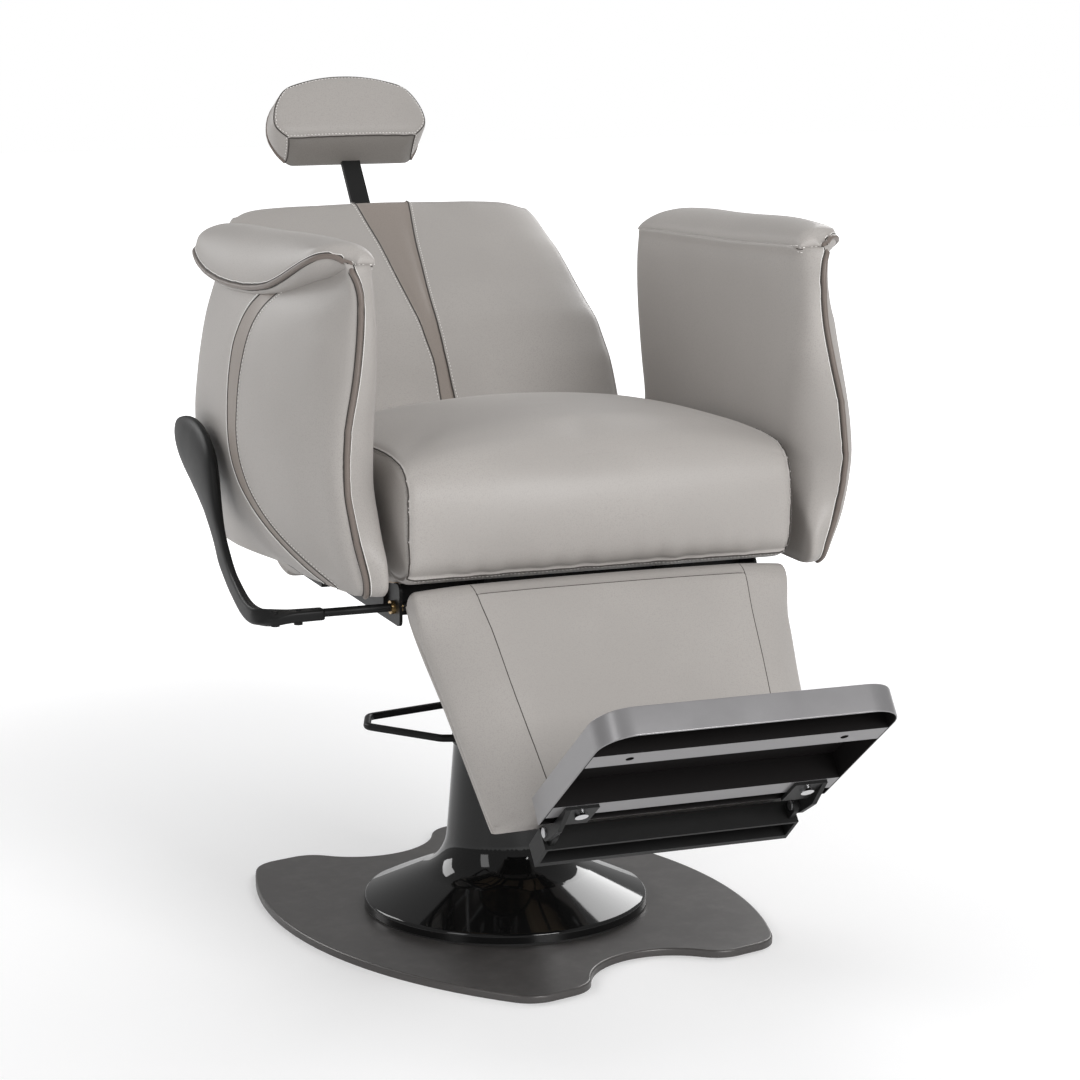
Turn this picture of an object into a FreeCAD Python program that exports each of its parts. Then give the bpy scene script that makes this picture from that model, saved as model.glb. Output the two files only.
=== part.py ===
import FreeCAD, Part
import math
import os
import re

import Sketcher

Vector = FreeCAD.Vector

# Hydraulic barber chair, in millimetres. The floor is z = 0, the pump's axis is the Z axis,
# the chair faces -Y, and the sitter's right is -X.

# Places of the three bolts along each arm bracket, as shares of its length.
armBoltShares = (0.12, 0.5, 0.88)

# Driving dimensions: one named cell each.
driving = {
    # base plate: two side arcs, a flat tip on each lobe, a dip between the lobes
    "base_half_width": 300,
    "base_side_radius": 590,
    "base_half_length": 341,
    "base_dip_from_centre": 272,
    "base_dip_radius": 110,
    "base_lobe_radius": 50,
    "base_thick": 10,
    "base_edge_round": 3,
    "base_turn": 14.5,
    # bell cover
    "cover_rim_radius": 192,
    "cover_lip_high": 12,
    "cover_wall": 2,
    "cover_top_radius": 69.5,
    "cover_top": 236,
    "cover_waist_radius": 82.6,
    "cover_waist_height": 73,
    "cover_waist_round": 60,
    "cover_lip_round": 5,
    "gasket_thick": 2.5,
    "gasket_wide": 6,
    "gasket_inset": 1.5,
    # pump
    "piston_radius": 30,
    "shaft_clearance": 0.05,
    "cylinder_wall": 6,
    "reservoir_radius": 48,
    "reservoir_wall": 4,
    "flange_radius": 88,
    "flange_thick": 12,
    "base_bolt_circle": 68,
    "base_bolt_radius": 5,
    "base_bolt_count": 6,
    "bolt_head_high": 5,
    "head_radius": 52,
    "head_cap_radius": 71.5,
    "head_cap_thick": 8,
    "head_high": 54,
    "seal_radius": 37,
    "seal_high": 5,
    "piston_low": 120,
    "piston_shoulder": 415,
    "spigot_radius": 20,
    "spigot_long": 38,
    # foot pedal: a rod loop that is narrow at the tread and wide at the pump
    "pedal_height": 262,
    "pedal_azimuth": 160.1,
    "pedal_rod_radius": 5,
    "pedal_reach": 185,
    "pedal_tread_half": 25,
    "pedal_bend_reach": 85,
    "pedal_half_width": 88.5,
    "pedal_bend_round": 14,
    "pedal_eye_radius": 11,
    "pedal_eye_wide": 11,
    "pedal_pin_radius": 5,
    "pedal_boss_radius": 14,
    "pedal_boss_gap": 4,
    # swivel
    "bearing_thick": 10,
    "bearing_radius": 40,
    "hub_radius": 45,
    "hub_high": 42,
    "swivel_plate_half": 85,
    "swivel_plate_thick": 8,
    "hub_bolt_across": 65,
    "hub_bolt_along": 48,
    "hub_bolt_radius": 4,
    # seat frame
    "member_high": 47,
    "rail_gap_half": 236,
    "rail_thick": 4,
    "rail_drop": 52,
    "rail_front": -278,
    "rail_rear": 100,
    "member_wall": 3,
    "front_member_y": -235,
    "member_deep": 30,
    "rear_member_y": 92,
    "channel_inner_half": 52,
    "channel_wide": 26,
    # seat board and cushion
    "board_thick": 15,
    "board_beside_rail": 6,
    "board_front": -262,
    "seat_rear": 107,
    "seat_front": -365,
    "seat_beside_rail": 16,
    "seat_crown_high": 194,
    "seat_edge_drop": 28,
    "cushion_gap": 0.8,
    "screw_radius": 3,
    "screw_head_radius": 6,
    "screw_head_high": 3,
    # arms
    "arm_beside_rail": 33,
    "arm_wide": 116,
    "arm_high": 358,
    "arm_front": -354,
    "arm_rear": 196,
    "arm_seam_high": 383,
    "wing_high": 68,
    "wing_wide": 107,
    "wing_roll": 6,
    "bracket_thick": 5,
    "bracket_reach": 84,
    "bracket_drop": 36,
    "bracket_front": -230,
    "arm_bolt_radius": 4,
    "arm_bolt_long": 30,
    "arm_bolt_across": 0.7,
    # recline pivots
    "back_pivot_y": 175,
    "back_pivot_below": 17,
    "back_lean": 40,
    "roll_radius": 62,
    "hinge_arm_inner": 144,
    "hinge_arm_thick": 8,
    "hinge_flange_wide": 24,
    "hinge_flange_thick": 5,
    "hinge_side_gap": 2,
    "ear_eye_radius": 16,
    "recline_pin_radius": 8,
    "hinge_slot_high": 26,
    "crank_long": 45,
    "crank_pin_radius": 6,
    "crank_eye_radius": 12,
    # backrest
    "back_long": 534,
    "back_rear_face": 58,
    "back_beside_rail": 26,
    "back_top_narrow": 28,
    "lumbar_front": 77,
    "back_top_front": 9,
    "back_board_thick": 12,
    "back_board_low": 30,
    "back_board_inset": 40,
    "back_cover_deep": 28,
    "back_cover_wall": 3,
    "back_cover_low": 66,
    "back_cover_slope": 46,
    "back_cover_inset": 36,
    "back_cover_round": 14,
    "guide_low": 430,
    "guide_high": 522,
    "guide_wall": 6,
    "hinge_arm_top": 180,
    # headrest
    "bar_wide": 28,
    "bar_thick": 8,
    "bar_low": 330,
    "bar_behind_board": 9,
    "slide_clearance": 0.1,
    "headrest_pivot_up": 695,
    "headrest_lean": 30,
    "barrel_radius": 8,
    "headrest_pin_radius": 4,
    "headrest_half_width": 125,
    "headrest_bottom_half_width": 91,
    "headrest_low": -22,
    "headrest_high": 106,
    "headrest_front": 42,
    "headrest_rear": -10,
    "headrest_crown": 8,
    "notch_deep": 22,
    "notch_high": 15,
    "notch_half_wide": 25,
    "headrest_plate_thick": 3,
    "clevis_thick": 4,
    # leg rest
    "leg_pivot_y": -359,
    "leg_pivot_below": 103,
    "leg_lean": 41.5,
    "lug_inner": 116,
    "lug_thick": 8,
    "lug_eye_radius": 13,
    "leg_pin_radius": 7,
    "leg_board_behind": 15,
    "leg_board_thick": 12,
    "leg_board_inset": 56,
    "leg_board_low": -205,
    "leg_board_high": 70,
    "leg_front": 90,
    "leg_crown": 3,
    "leg_pad_high": 89,
    "leg_pad_low": -226,
    "leg_seam_inset": 75,
    "leg_seam_taper": 0.1,
    "leg_beside_rail": 11,
    "leg_edge_taper": 0.119,
    "leg_edge_behind": 50,
    "link_thick": 6,
    "link_half_high": 7,
    "link_slack": 0.4,
    # footrest
    "channel_half_width": 162,
    "channel_high": -229,
    "channel_low": -258,
    "channel_wall": 4,
    "channel_front": 55,
    "channel_rear": 9,
    "strap_inner": 90,
    "strap_wide": 30,
    "strap_high": -140,
    "foot_pivot_down": 243.4,
    "foot_pivot_front": 71.7,
    "foot_lean": 36.9,
    "foot_lug_inner": 150,
    "foot_lug_thick": 6,
    "foot_plate_thick": 4,
    "foot_eye_radius": 10,
    "foot_pin_radius": 6,
    "pan_half_width": 182,
    "pan_start": 30.4,
    "pan_long": 256,
    "pan_deep": 34,
    "pan_under": 1,
    "pan_wall": 2.5,
    "pan_corner": 42,
    "foot_bar_wide": 32,
    "foot_bar_wall": 3,
    "low_bar_start": 21,
    "high_bar_start": 170,
    "bar_hole_half": 131,
    "bar_hole_radius": 4.8,
    "foot_bolt_radius": 5,
    "foot_bolt_head": 8,
    # recline lever
    "lever_y": -256,
    "lever_below": 31,
    "lever_rod_radius": 5.25,
    "lever_outside_arm": 21,
    "lever_long": 356,
    "lever_rise": 203,
    "lever_rod_inside": 20,
    "lever_bolt_radius": 3,
    "lever_plate_thick": 10,
    "lever_leg_long": 80,
    "lever_leg_half": 10,
    "lever_leg_low": 7,
    "bush_radius": 8.5,
    "bush_long": 14,
    "lever_bracket_x": -160,
    "cam_radius": 15,
    # gas spring
    "spring_x": -104,
    "spring_below": 58,
    "spring_pin_radius": 5,
    "spring_cheek_thick": 4,
    "spring_anchor_y": -218,
    "spring_radius": 11,
    "spring_end_y": 30,
    "spring_rod_radius": 4,
    "spring_rod_inside": -60,
    "spring_eye_radius": 15,
    "spring_eye_slack": 4.5,
    "spring_eye_wide": 10,
}

# Places worked out from the driving dimensions.
derived = {
    "base_edge_offset": "base_side_radius - base_half_width",
    "cover_foot": "base_thick + gasket_thick",
    "reservoir_top": "cover_top",
    "head_top": "cover_top + head_high",
    "cylinder_radius": "piston_radius + shaft_clearance + cylinder_wall",
    "bearing_top": "piston_shoulder + bearing_thick",
    "hub_top": "bearing_top + hub_high",
    "rail_low": "frame_top - rail_drop",
    "frame_low": "hub_top + swivel_plate_thick",
    "frame_top": "frame_low + member_high",
    "rail_outer": "rail_gap_half + rail_thick",
    "board_half_width": "rail_outer + board_beside_rail",
    "seat_half_width": "rail_outer + seat_beside_rail",
    "seat_crown_top": "frame_top + seat_crown_high",
    "arm_inner": "rail_outer + arm_beside_rail",
    "arm_widest": "arm_inner + arm_wide",
    "arm_top": "frame_top + arm_high",
    "arm_inner_top": "frame_top + arm_seam_high",
    "back_pivot_z": "frame_top - back_pivot_below",
    "back_half_width": "rail_outer + back_beside_rail",
    "back_top_half_width": "back_half_width - back_top_narrow",
    "back_board_half_width": "back_half_width - back_board_inset",
    "back_cover_half_width": "back_half_width - back_cover_inset",
    "leg_pivot_z": "frame_top - leg_pivot_below",
    "leg_edge_top_half": "rail_outer + leg_beside_rail",
    "leg_seam_top_half": "leg_edge_top_half - leg_seam_inset",
    "leg_board_half_width": "leg_edge_top_half - leg_board_inset",
    "lever_z": "frame_top - lever_below",
    "lever_plane": "-(arm_widest + lever_outside_arm)",
    "lever_leg_end": "lever_plane + lever_leg_long",
    "spring_z": "frame_top - spring_below",
    "front_member_rear": "front_member_y + member_deep",
    "rear_member_front": "rear_member_y - member_deep",
    "board_top": "frame_top + board_thick",
    "hinge_arm_outer": "hinge_arm_inner + hinge_arm_thick",
    "ear_inner": "hinge_arm_outer + hinge_side_gap",
    "ear_outer": "ear_inner + hinge_arm_thick",
    "link_outer": "hinge_arm_inner - hinge_side_gap",
    "link_inner": "link_outer - link_thick",
    "leg_arm_outer": "link_inner - hinge_side_gap",
    "lug_outer": "lug_inner + lug_thick",
    "leg_arm_inner": "lug_outer + hinge_side_gap",
    "crank_behind": "crank_long * sin(back_lean)",
    "crank_below": "crank_long * cos(back_lean)",
    "leg_crank_behind": "crank_long * sin(leg_lean)",
    "leg_crank_below": "crank_long * cos(leg_lean)",
    "back_board_rear": "back_rear_face + back_board_thick",
    "bar_middle": "back_board_rear + bar_behind_board",
    "bar_front": "bar_middle - bar_thick / 2",
    "bar_rear": "bar_middle + bar_thick / 2",
    "cover_rear": "back_board_rear + back_cover_deep",
    "headrest_y": "back_pivot_y + headrest_pivot_up * sin(back_lean) + bar_middle * cos(back_lean)",
    "headrest_z": "back_pivot_z + headrest_pivot_up * cos(back_lean) - bar_middle * sin(back_lean)",
    "leg_board_front": "leg_board_behind + leg_board_thick",
    "foot_y": "leg_pivot_y - foot_pivot_down * sin(leg_lean) - foot_pivot_front * cos(leg_lean)",
    "foot_z": "leg_pivot_z - foot_pivot_down * cos(leg_lean) + foot_pivot_front * sin(leg_lean)",
    "foot_plate_inner": "foot_lug_inner + foot_lug_thick + hinge_side_gap",
    "foot_plate_outer": "foot_plate_inner + foot_lug_thick",
    "pan_end": "pan_start + pan_long",
    "pan_top": "pan_deep - pan_under",
}

doc = FreeCAD.newDocument("barber_chair")
sheet = doc.addObject("Spreadsheet::Sheet", "Sizes")


def fillSheet():
    for row, (alias, value) in enumerate(driving.items(), start=1):
        sheet.set("A%d" % row, alias)
        sheet.set("B%d" % row, str(value))
        sheet.setAlias("B%d" % row, alias)
    for row, (alias, formula) in enumerate(derived.items(), start=len(driving) + 1):
        sheet.set("A%d" % row, alias)
        sheet.set("B%d" % row, "=" + formula)
        sheet.setAlias("B%d" % row, alias)
    doc.recompute()


fillSheet()


def size(alias):
    """A cell's value, for shapes that are set directly."""
    return float(sheet.get(alias))


def onSheet(text):
    """The same expression with each alias read from the sheet."""
    return re.sub(r"\b[a-z][a-z_]+\b(?!\()", lambda word: "Sizes." + word.group(0), text)


def bind(item, prop, text):
    item.setExpression(prop, onSheet(text))


def place(item, y="0", z="0", lean="0"):
    """Puts an item made about its own pivot at (0, y, z), leaning back by an angle."""
    item.Placement = FreeCAD.Placement(Vector(0, 0, 0), FreeCAD.Rotation(Vector(1, 0, 0), -1))
    bind(item, "Placement.Base.y", y)
    bind(item, "Placement.Base.z", z)
    bind(item, "Placement.Rotation.Angle", "-(%s)" % lean)
    return item


def onBack(item):
    return place(item, "back_pivot_y", "back_pivot_z", "back_lean")


def onLeg(item):
    return place(item, "leg_pivot_y", "leg_pivot_z", "leg_lean")


def onHeadrest(item):
    return place(item, "headrest_y", "headrest_z", "headrest_lean")


def onFootrest(item):
    return place(item, "foot_y", "foot_z", "foot_lean")


nodes = []


def node(label, item):
    """Names a finished sub-part; the label is also the name of its file."""
    item.Label = label
    nodes.append(item)
    return item


# Simple solids and how they combine.


def box(name, across, deep, high):
    block = doc.addObject("Part::Box", name)
    spans = (("Length", "x", across), ("Width", "y", deep), ("Height", "z", high))
    for side, base, (low, top) in spans:
        bind(block, side, "(%s) - (%s)" % (top, low))
        bind(block, "Placement.Base." + base, low)
    return block


def post(name, radius, low, top, x="0", y="0"):
    """An upright cylinder."""
    item = doc.addObject("Part::Cylinder", name)
    bind(item, "Radius", radius)
    bind(item, "Height", "(%s) - (%s)" % (top, low))
    bind(item, "Placement.Base.x", x)
    bind(item, "Placement.Base.y", y)
    bind(item, "Placement.Base.z", low)
    return item


def rod(name, radius, left, right, y="0", z="0"):
    """A cylinder along X."""
    item = doc.addObject("Part::Cylinder", name)
    item.Placement = FreeCAD.Placement(Vector(0, 0, 0), FreeCAD.Rotation(Vector(0, 1, 0), 90))
    bind(item, "Radius", radius)
    bind(item, "Height", "(%s) - (%s)" % (right, left))
    bind(item, "Placement.Base.x", left)
    bind(item, "Placement.Base.y", y)
    bind(item, "Placement.Base.z", z)
    return item


def shaft(name, radius, front, rear, x="0", z="0"):
    """A cylinder along Y."""
    item = doc.addObject("Part::Cylinder", name)
    item.Placement = FreeCAD.Placement(Vector(0, 0, 0), FreeCAD.Rotation(Vector(1, 0, 0), -90))
    bind(item, "Radius", radius)
    bind(item, "Height", "(%s) - (%s)" % (rear, front))
    bind(item, "Placement.Base.x", x)
    bind(item, "Placement.Base.y", front)
    bind(item, "Placement.Base.z", z)
    return item


def fuse(name, *items):
    joined = doc.addObject("Part::MultiFuse", name)
    joined.Shapes = list(items)
    return joined


def cut(name, base, *tools):
    tool = tools[0]
    if len(tools) > 1:
        tool = fuse(name + "_tools", *tools)
    rest = doc.addObject("Part::Cut", name)
    rest.Base = base
    rest.Tool = tool
    return rest


def common(name, *items):
    overlap = doc.addObject("Part::MultiCommon", name)
    overlap.Shapes = list(items)
    return overlap


def group(name, *items):
    """Separate solids in one node."""
    together = doc.addObject("Part::Compound", name)
    together.Links = list(items)
    return together


def mirrored(name, item):
    other = doc.addObject("Part::Mirroring", name)
    other.Source = item
    other.Normal = Vector(1, 0, 0)
    return other


def pair(name, item):
    """A piece and its mirror image on the other side of the chair."""
    return group(name, item, mirrored(name + "_other", item))


def rounded(name, base, radius, chosen):
    """Rounds the edges that the test picks."""
    doc.recompute()
    soft = doc.addObject("Part::Fillet", name)
    soft.Base = base
    picked = [number for number, edge in enumerate(base.Shape.Edges, start=1) if chosen(edge)]
    soft.Edges = [(number, radius, radius) for number in picked]
    return soft


def along(edge, direction):
    ends = edge.Vertexes
    return len(ends) == 2 and (ends[0].Point - ends[1].Point).cross(direction).Length < 1e-6


def alongX(edge):
    return along(edge, Vector(1, 0, 0))


def alongY(edge):
    return along(edge, Vector(0, 1, 0))


def upright(edge):
    return along(edge, Vector(0, 0, 1))


def feature(name, shape):
    item = doc.addObject("Part::Feature", name)
    item.Shape = shape
    return item


# Plates and turned parts, drawn as sketches.


def newBody(name):
    return doc.addObject("PartDesign::Body", name)


def newSketch(body, name, plane):
    sketch = body.newObject("Sketcher::SketchObject", name)
    origin = [item for item in body.Origin.OriginFeatures if item.Role == plane][0]
    sketch.AttachmentSupport = (origin, [""])
    sketch.MapMode = "FlatFace"
    return sketch


def tie(sketch, kind, geometry, point, text):
    """Holds a point's distance from the sketch's origin at an expression's value."""
    start = float(sketch.evalExpression(onSheet(text)))
    number = sketch.addConstraint(Sketcher.Constraint(kind, -1, 1, geometry, point, start))
    sketch.setExpression("Constraints[%d]" % number, onSheet(text))


def outline(body, name, plane, points):
    """A closed outline of straight lines through points that are bound to the sheet."""
    sketch = newSketch(body, name, plane)
    places = []
    for across, up in points:
        first = float(sketch.evalExpression(onSheet(across)))
        second = float(sketch.evalExpression(onSheet(up)))
        places.append(Vector(first, second, 0))
    for number, start in enumerate(places):
        end = places[(number + 1) % len(places)]
        sketch.addGeometry(Part.LineSegment(start, end))
    for number in range(len(places)):
        following = (number + 1) % len(places)
        sketch.addConstraint(Sketcher.Constraint("Coincident", number, 2, following, 1))
    for number, (across, up) in enumerate(points):
        tie(sketch, "DistanceX", number, 1, across)
        tie(sketch, "DistanceY", number, 1, up)
    return sketch


def disc(body, name, plane, across, up, radius):
    sketch = newSketch(body, name, plane)
    first = float(sketch.evalExpression(onSheet(across)))
    second = float(sketch.evalExpression(onSheet(up)))
    start = float(sketch.evalExpression(onSheet(radius)))
    sketch.addGeometry(Part.Circle(Vector(first, second, 0), Vector(0, 0, 1), start))
    number = sketch.addConstraint(Sketcher.Constraint("Radius", 0, start))
    sketch.setExpression("Constraints[%d]" % number, onSheet(radius))
    tie(sketch, "DistanceX", 0, 3, across)
    tie(sketch, "DistanceY", 0, 3, up)
    return sketch


def pad(body, name, sketch, thick):
    grown = body.newObject("PartDesign::Pad", name)
    grown.Profile = sketch
    bind(grown, "Length", thick)
    return grown


def pocket(body, name, sketch, thick):
    """A hole through a plate that was padded from the same plane."""
    hole = body.newObject("PartDesign::Pocket", name)
    hole.Profile = sketch
    hole.Reversed = True
    bind(hole, "Length", thick)
    return hole


def plate(name, inner, thick, points, eyes=(), bores=()):
    """A plate at x = inner, outlined in the YZ plane, with round eyes and bores through it."""
    body = newBody(name)
    pad(body, name + "_pad", outline(body, name + "_outline", "YZ_Plane", points), thick)
    for number, (y, z, radius) in enumerate(eyes):
        sketch = disc(body, "%s_eye_%d" % (name, number), "YZ_Plane", y, z, radius)
        pad(body, "%s_eye_pad_%d" % (name, number), sketch, thick)
    for number, (y, z, radius) in enumerate(bores):
        sketch = disc(body, "%s_bore_%d" % (name, number), "YZ_Plane", y, z, radius)
        pocket(body, "%s_pocket_%d" % (name, number), sketch, thick)
    bind(body, "Placement.Base.x", inner)
    return body


def loop(steps):
    """A closed wire; each step is a point and, for an arc to the next point, a point it passes."""
    edges = []
    for number, (start, through) in enumerate(steps):
        end = steps[(number + 1) % len(steps)][0]
        if through is None:
            edges.append(Part.LineSegment(start, end).toShape())
        else:
            edges.append(Part.Arc(start, through, end).toShape())
    return Part.Wire(edges)


def bentPath(points, radius):
    """A path of straight runs with a tangent arc at each inner point."""
    edges = []
    start = points[0]
    for before, corner, after in zip(points, points[1:], points[2:]):
        back = (before - corner).normalize()
        ahead = (after - corner).normalize()
        half = back.getAngle(ahead) / 2
        reach = radius / math.tan(half)
        middle = (back + ahead).normalize() * (radius / math.sin(half) - radius)
        first = corner + back * reach
        last = corner + ahead * reach
        edges.append(Part.LineSegment(start, first).toShape())
        edges.append(Part.Arc(first, corner + middle, last).toShape())
        start = last
    edges.append(Part.LineSegment(start, points[-1]).toShape())
    return Part.Wire(edges)


def tubeAlong(path, radius):
    start = path.Edges[0]
    tangent = start.tangentAt(start.FirstParameter)
    ring = Part.Wire(Part.makeCircle(radius, start.valueAt(start.FirstParameter), tangent))
    return path.makePipeShell([ring], True, False)


# Base and pump.


def makeBasePlate():
    sides = []
    for name, sign in (("base_side_left", "-"), ("base_side_right", "")):
        sides.append(post(name, "base_side_radius", "0", "base_thick", x=sign + "base_edge_offset"))
    tips = box("base_tips", ("-base_half_width", "base_half_width"),
               ("-base_half_length", "base_half_length"), ("0", "base_thick"))
    lens = common("base_lens", sides[0], sides[1], tips)
    dips = []
    for name, sign in (("base_dip_front", "-"), ("base_dip_rear", "")):
        centre = sign + "(base_dip_from_centre + base_dip_radius)"
        dips.append(post(name, "base_dip_radius", "0", "base_thick", y=centre))
    lobes = cut("base_lobes", lens, dips[0], dips[1])
    outlineRound = rounded("base_outline", lobes, size("base_lobe_radius"), upright)
    top = size("base_thick")

    def onTop(edge):
        return all(abs(corner.Z - top) < 1e-6 for corner in edge.Vertexes)

    plateRound = rounded("base_rim", outlineRound, size("base_edge_round"), onTop)
    holes = boltCircle("base_hole", "base_bolt_radius + shaft_clearance", "0", "base_thick")
    drilled = cut("base_drilled", plateRound, *holes)
    bind(drilled, "Placement.Rotation.Angle", "base_turn")
    node("base_plate", drilled)


def boltCircle(name, radius, low, top):
    """Upright cylinders on the pump flange's bolt circle."""
    items = []
    count = int(size("base_bolt_count"))
    for number in range(count):
        turn = "(%d * 360 / base_bolt_count)" % number
        items.append(post("%s_%d" % (name, number), radius, low, top,
                          x="base_bolt_circle * cos%s" % turn, y="base_bolt_circle * sin%s" % turn))
    return items


def makeBaseBolts():
    flangeTop = "base_thick + flange_thick"
    shanks = boltCircle("base_bolt_shank", "base_bolt_radius", "base_edge_round", flangeTop)
    heads = boltCircle("base_bolt_head", "base_bolt_radius * 1.7", flangeTop,
                       flangeTop + " + bolt_head_high")
    bolts = [fuse("base_bolt_%d" % number, shank, head)
             for number, (shank, head) in enumerate(zip(shanks, heads))]
    bolted = group("base_bolts", *bolts)
    bind(bolted, "Placement.Rotation.Angle", "base_turn")
    node("base_bolts", bolted)


def makePump():
    flange = post("pump_flange", "flange_radius", "base_thick", "base_thick + flange_thick")
    tube = post("reservoir_tube", "reservoir_radius", "base_thick", "reservoir_top")
    inside = post("reservoir_inside", "reservoir_radius - reservoir_wall",
                  "base_thick + flange_thick", "reservoir_top")
    holes = boltCircle("flange_hole", "base_bolt_radius + shaft_clearance", "base_thick",
                       "base_thick + flange_thick")
    turned = group("flange_holes", *holes)
    bind(turned, "Placement.Rotation.Angle", "base_turn")
    node("pump_reservoir", cut("reservoir", fuse("reservoir_body", flange, tube), inside, turned))

    outer = post("cylinder_outer", "cylinder_radius", "base_thick + flange_thick", "reservoir_top")
    bore = post("cylinder_bore", "piston_radius + shaft_clearance",
                "base_thick + 1.5 * flange_thick", "reservoir_top")
    node("pump_cylinder", cut("cylinder", outer, bore))


def makePumpHead():
    cap = post("head_cap", "head_cap_radius", "cover_top", "cover_top + head_cap_thick")
    barrel = post("head_barrel", "head_radius", "cover_top", "head_top")
    arm = rod("head_boss", "pedal_boss_radius", "-(pedal_half_width - pedal_boss_gap - pedal_eye_wide / 2)",
              "pedal_half_width - pedal_boss_gap - pedal_eye_wide / 2", z="pedal_height")
    bore = post("head_bore", "piston_radius + shaft_clearance", "cover_top", "head_top")
    sealSeat = post("head_seal_seat", "seal_radius", "head_top - seal_high", "head_top")
    pinHoles = rod("head_pin_holes", "pedal_pin_radius", "-pedal_half_width", "pedal_half_width",
                   z="pedal_height")
    head = cut("head", fuse("head_body", cap, barrel, arm), bore, sealSeat, pinHoles)
    bind(head, "Placement.Rotation.Angle", "pedal_azimuth - 90")
    node("pump_head", head)

    ring = post("seal_ring", "seal_radius", "head_top - seal_high", "head_top")
    hole = post("seal_hole", "piston_radius + shaft_clearance", "head_top - seal_high", "head_top")
    node("piston_seal", cut("seal", ring, hole))


def makePumpCover():
    body = newBody("cover_body")
    points = [
        ("cover_top_radius", "cover_top"),
        ("cover_waist_radius", "cover_waist_height"),
        ("cover_rim_radius", "cover_foot + cover_lip_high"),
        ("cover_rim_radius", "cover_foot"),
        ("cover_rim_radius - cover_wall", "cover_foot"),
        ("cover_rim_radius - cover_wall", "cover_foot + cover_lip_high - cover_wall"),
        ("cover_waist_radius - cover_wall", "cover_waist_height - cover_wall"),
        ("cover_top_radius - cover_wall", "cover_top"),
    ]
    sketch = outline(body, "cover_outline", "XZ_Plane", points)
    turned = body.newObject("PartDesign::Revolution", "cover_turned")
    turned.Profile = sketch
    turned.ReferenceAxis = (sketch, ["V_Axis"])
    turned.Angle = 360
    doc.recompute()

    def ringsAt(radius, height):
        names = []
        for number, edge in enumerate(turned.Shape.Edges, start=1):
            centre = edge.Curve.Center if hasattr(edge.Curve, "Radius") else None
            if centre and abs(edge.Curve.Radius - radius) < 0.01 and abs(centre.z - height) < 0.01:
                names.append("Edge%d" % number)
        return names

    wall = size("cover_wall")
    waist = size("cover_waist_radius")
    height = size("cover_waist_height")
    waistRound = body.newObject("PartDesign::Fillet", "cover_waist_fillet")
    waistRound.Base = (turned, ringsAt(waist, height) + ringsAt(waist - wall, height - wall))
    bind(waistRound, "Radius", "cover_waist_round")
    doc.recompute()
    lipTop = size("cover_foot") + size("cover_lip_high")
    lip = ["Edge%d" % number for number, edge in enumerate(waistRound.Shape.Edges, start=1)
           if hasattr(edge.Curve, "Radius") and abs(edge.Curve.Radius - size("cover_rim_radius")) < 0.01
           and abs(edge.Curve.Center.z - lipTop) < 0.01]
    lipRound = body.newObject("PartDesign::Fillet", "cover_lip_fillet")
    lipRound.Base = (waistRound, lip)
    bind(lipRound, "Radius", "cover_lip_round")
    body.Tip = lipRound
    node("pump_cover", body)

    ring = post("gasket_ring", "cover_rim_radius - gasket_inset", "base_thick", "cover_foot")
    hole = post("gasket_hole", "cover_rim_radius - gasket_inset - gasket_wide", "base_thick", "cover_foot")
    node("cover_gasket", cut("gasket", ring, hole))


def makeFootPedal():
    reach = size("pedal_reach")
    tread = size("pedal_tread_half")
    bend = size("pedal_bend_reach")
    half = size("pedal_half_width")
    eye = size("pedal_eye_radius")
    start = (eye + size("pedal_pin_radius") + size("shaft_clearance")) / 2
    points = [Vector(start, half, 0), Vector(bend, half, 0), Vector(reach, tread, 0),
              Vector(reach, -tread, 0), Vector(bend, -half, 0), Vector(start, -half, 0)]
    loopRod = feature("pedal_rod", tubeAlong(bentPath(points, size("pedal_bend_round")),
                                             size("pedal_rod_radius")))
    inner = "pedal_half_width - pedal_eye_wide / 2"
    outer = "pedal_half_width + pedal_eye_wide / 2"
    parts = [loopRod]
    bores = []
    for name, low, high in (("near", inner, outer), ("far", "-(%s)" % outer, "-(%s)" % inner)):
        parts.append(shaft("pedal_eye_" + name, "pedal_eye_radius", low, high))
        bores.append(shaft("pedal_bore_" + name, "pedal_pin_radius + shaft_clearance", low, high))
    pedal = cut("pedal", fuse("pedal_body", *parts), *bores)
    bind(pedal, "Placement.Base.z", "pedal_height")
    bind(pedal, "Placement.Rotation.Angle", "pedal_azimuth")
    node("foot_pedal", pedal)

    shank = rod("pedal_pin_shank", "pedal_pin_radius", "head_radius + 6",
                "pedal_half_width + pedal_eye_wide / 2 + 1", z="pedal_height")
    cap = rod("pedal_pin_cap", "pedal_pin_radius * 1.6", "pedal_half_width + pedal_eye_wide / 2 + 1",
              "pedal_half_width + pedal_eye_wide / 2 + 4", z="pedal_height")
    pins = pair("pedal_pins", fuse("pedal_pin", shank, cap))
    bind(pins, "Placement.Rotation.Angle", "pedal_azimuth - 90")
    node("pedal_pins", pins)


# Piston, swivel and seat frame.


def makePiston():
    stem = post("piston_stem", "piston_radius", "piston_low", "piston_shoulder")
    spigot = post("piston_spigot", "spigot_radius", "piston_shoulder",
                  "bearing_top + spigot_long")
    node("lift_piston", fuse("piston", stem, spigot))
    ring = post("bearing_ring", "bearing_radius", "piston_shoulder", "bearing_top")
    hole = post("bearing_hole", "spigot_radius + shaft_clearance", "piston_shoulder", "bearing_top")
    node("swivel_bearing", cut("bearing", ring, hole))


def hubBolts(name, radius, low, top):
    return [post("%s_%d" % (name, number), radius, low, top, x=x, y=y)
            for number, (x, y) in enumerate((("hub_bolt_across", "hub_bolt_along"),
                                             ("-hub_bolt_across", "hub_bolt_along"),
                                             ("-hub_bolt_across", "-hub_bolt_along"),
                                             ("hub_bolt_across", "-hub_bolt_along")))]


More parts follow.
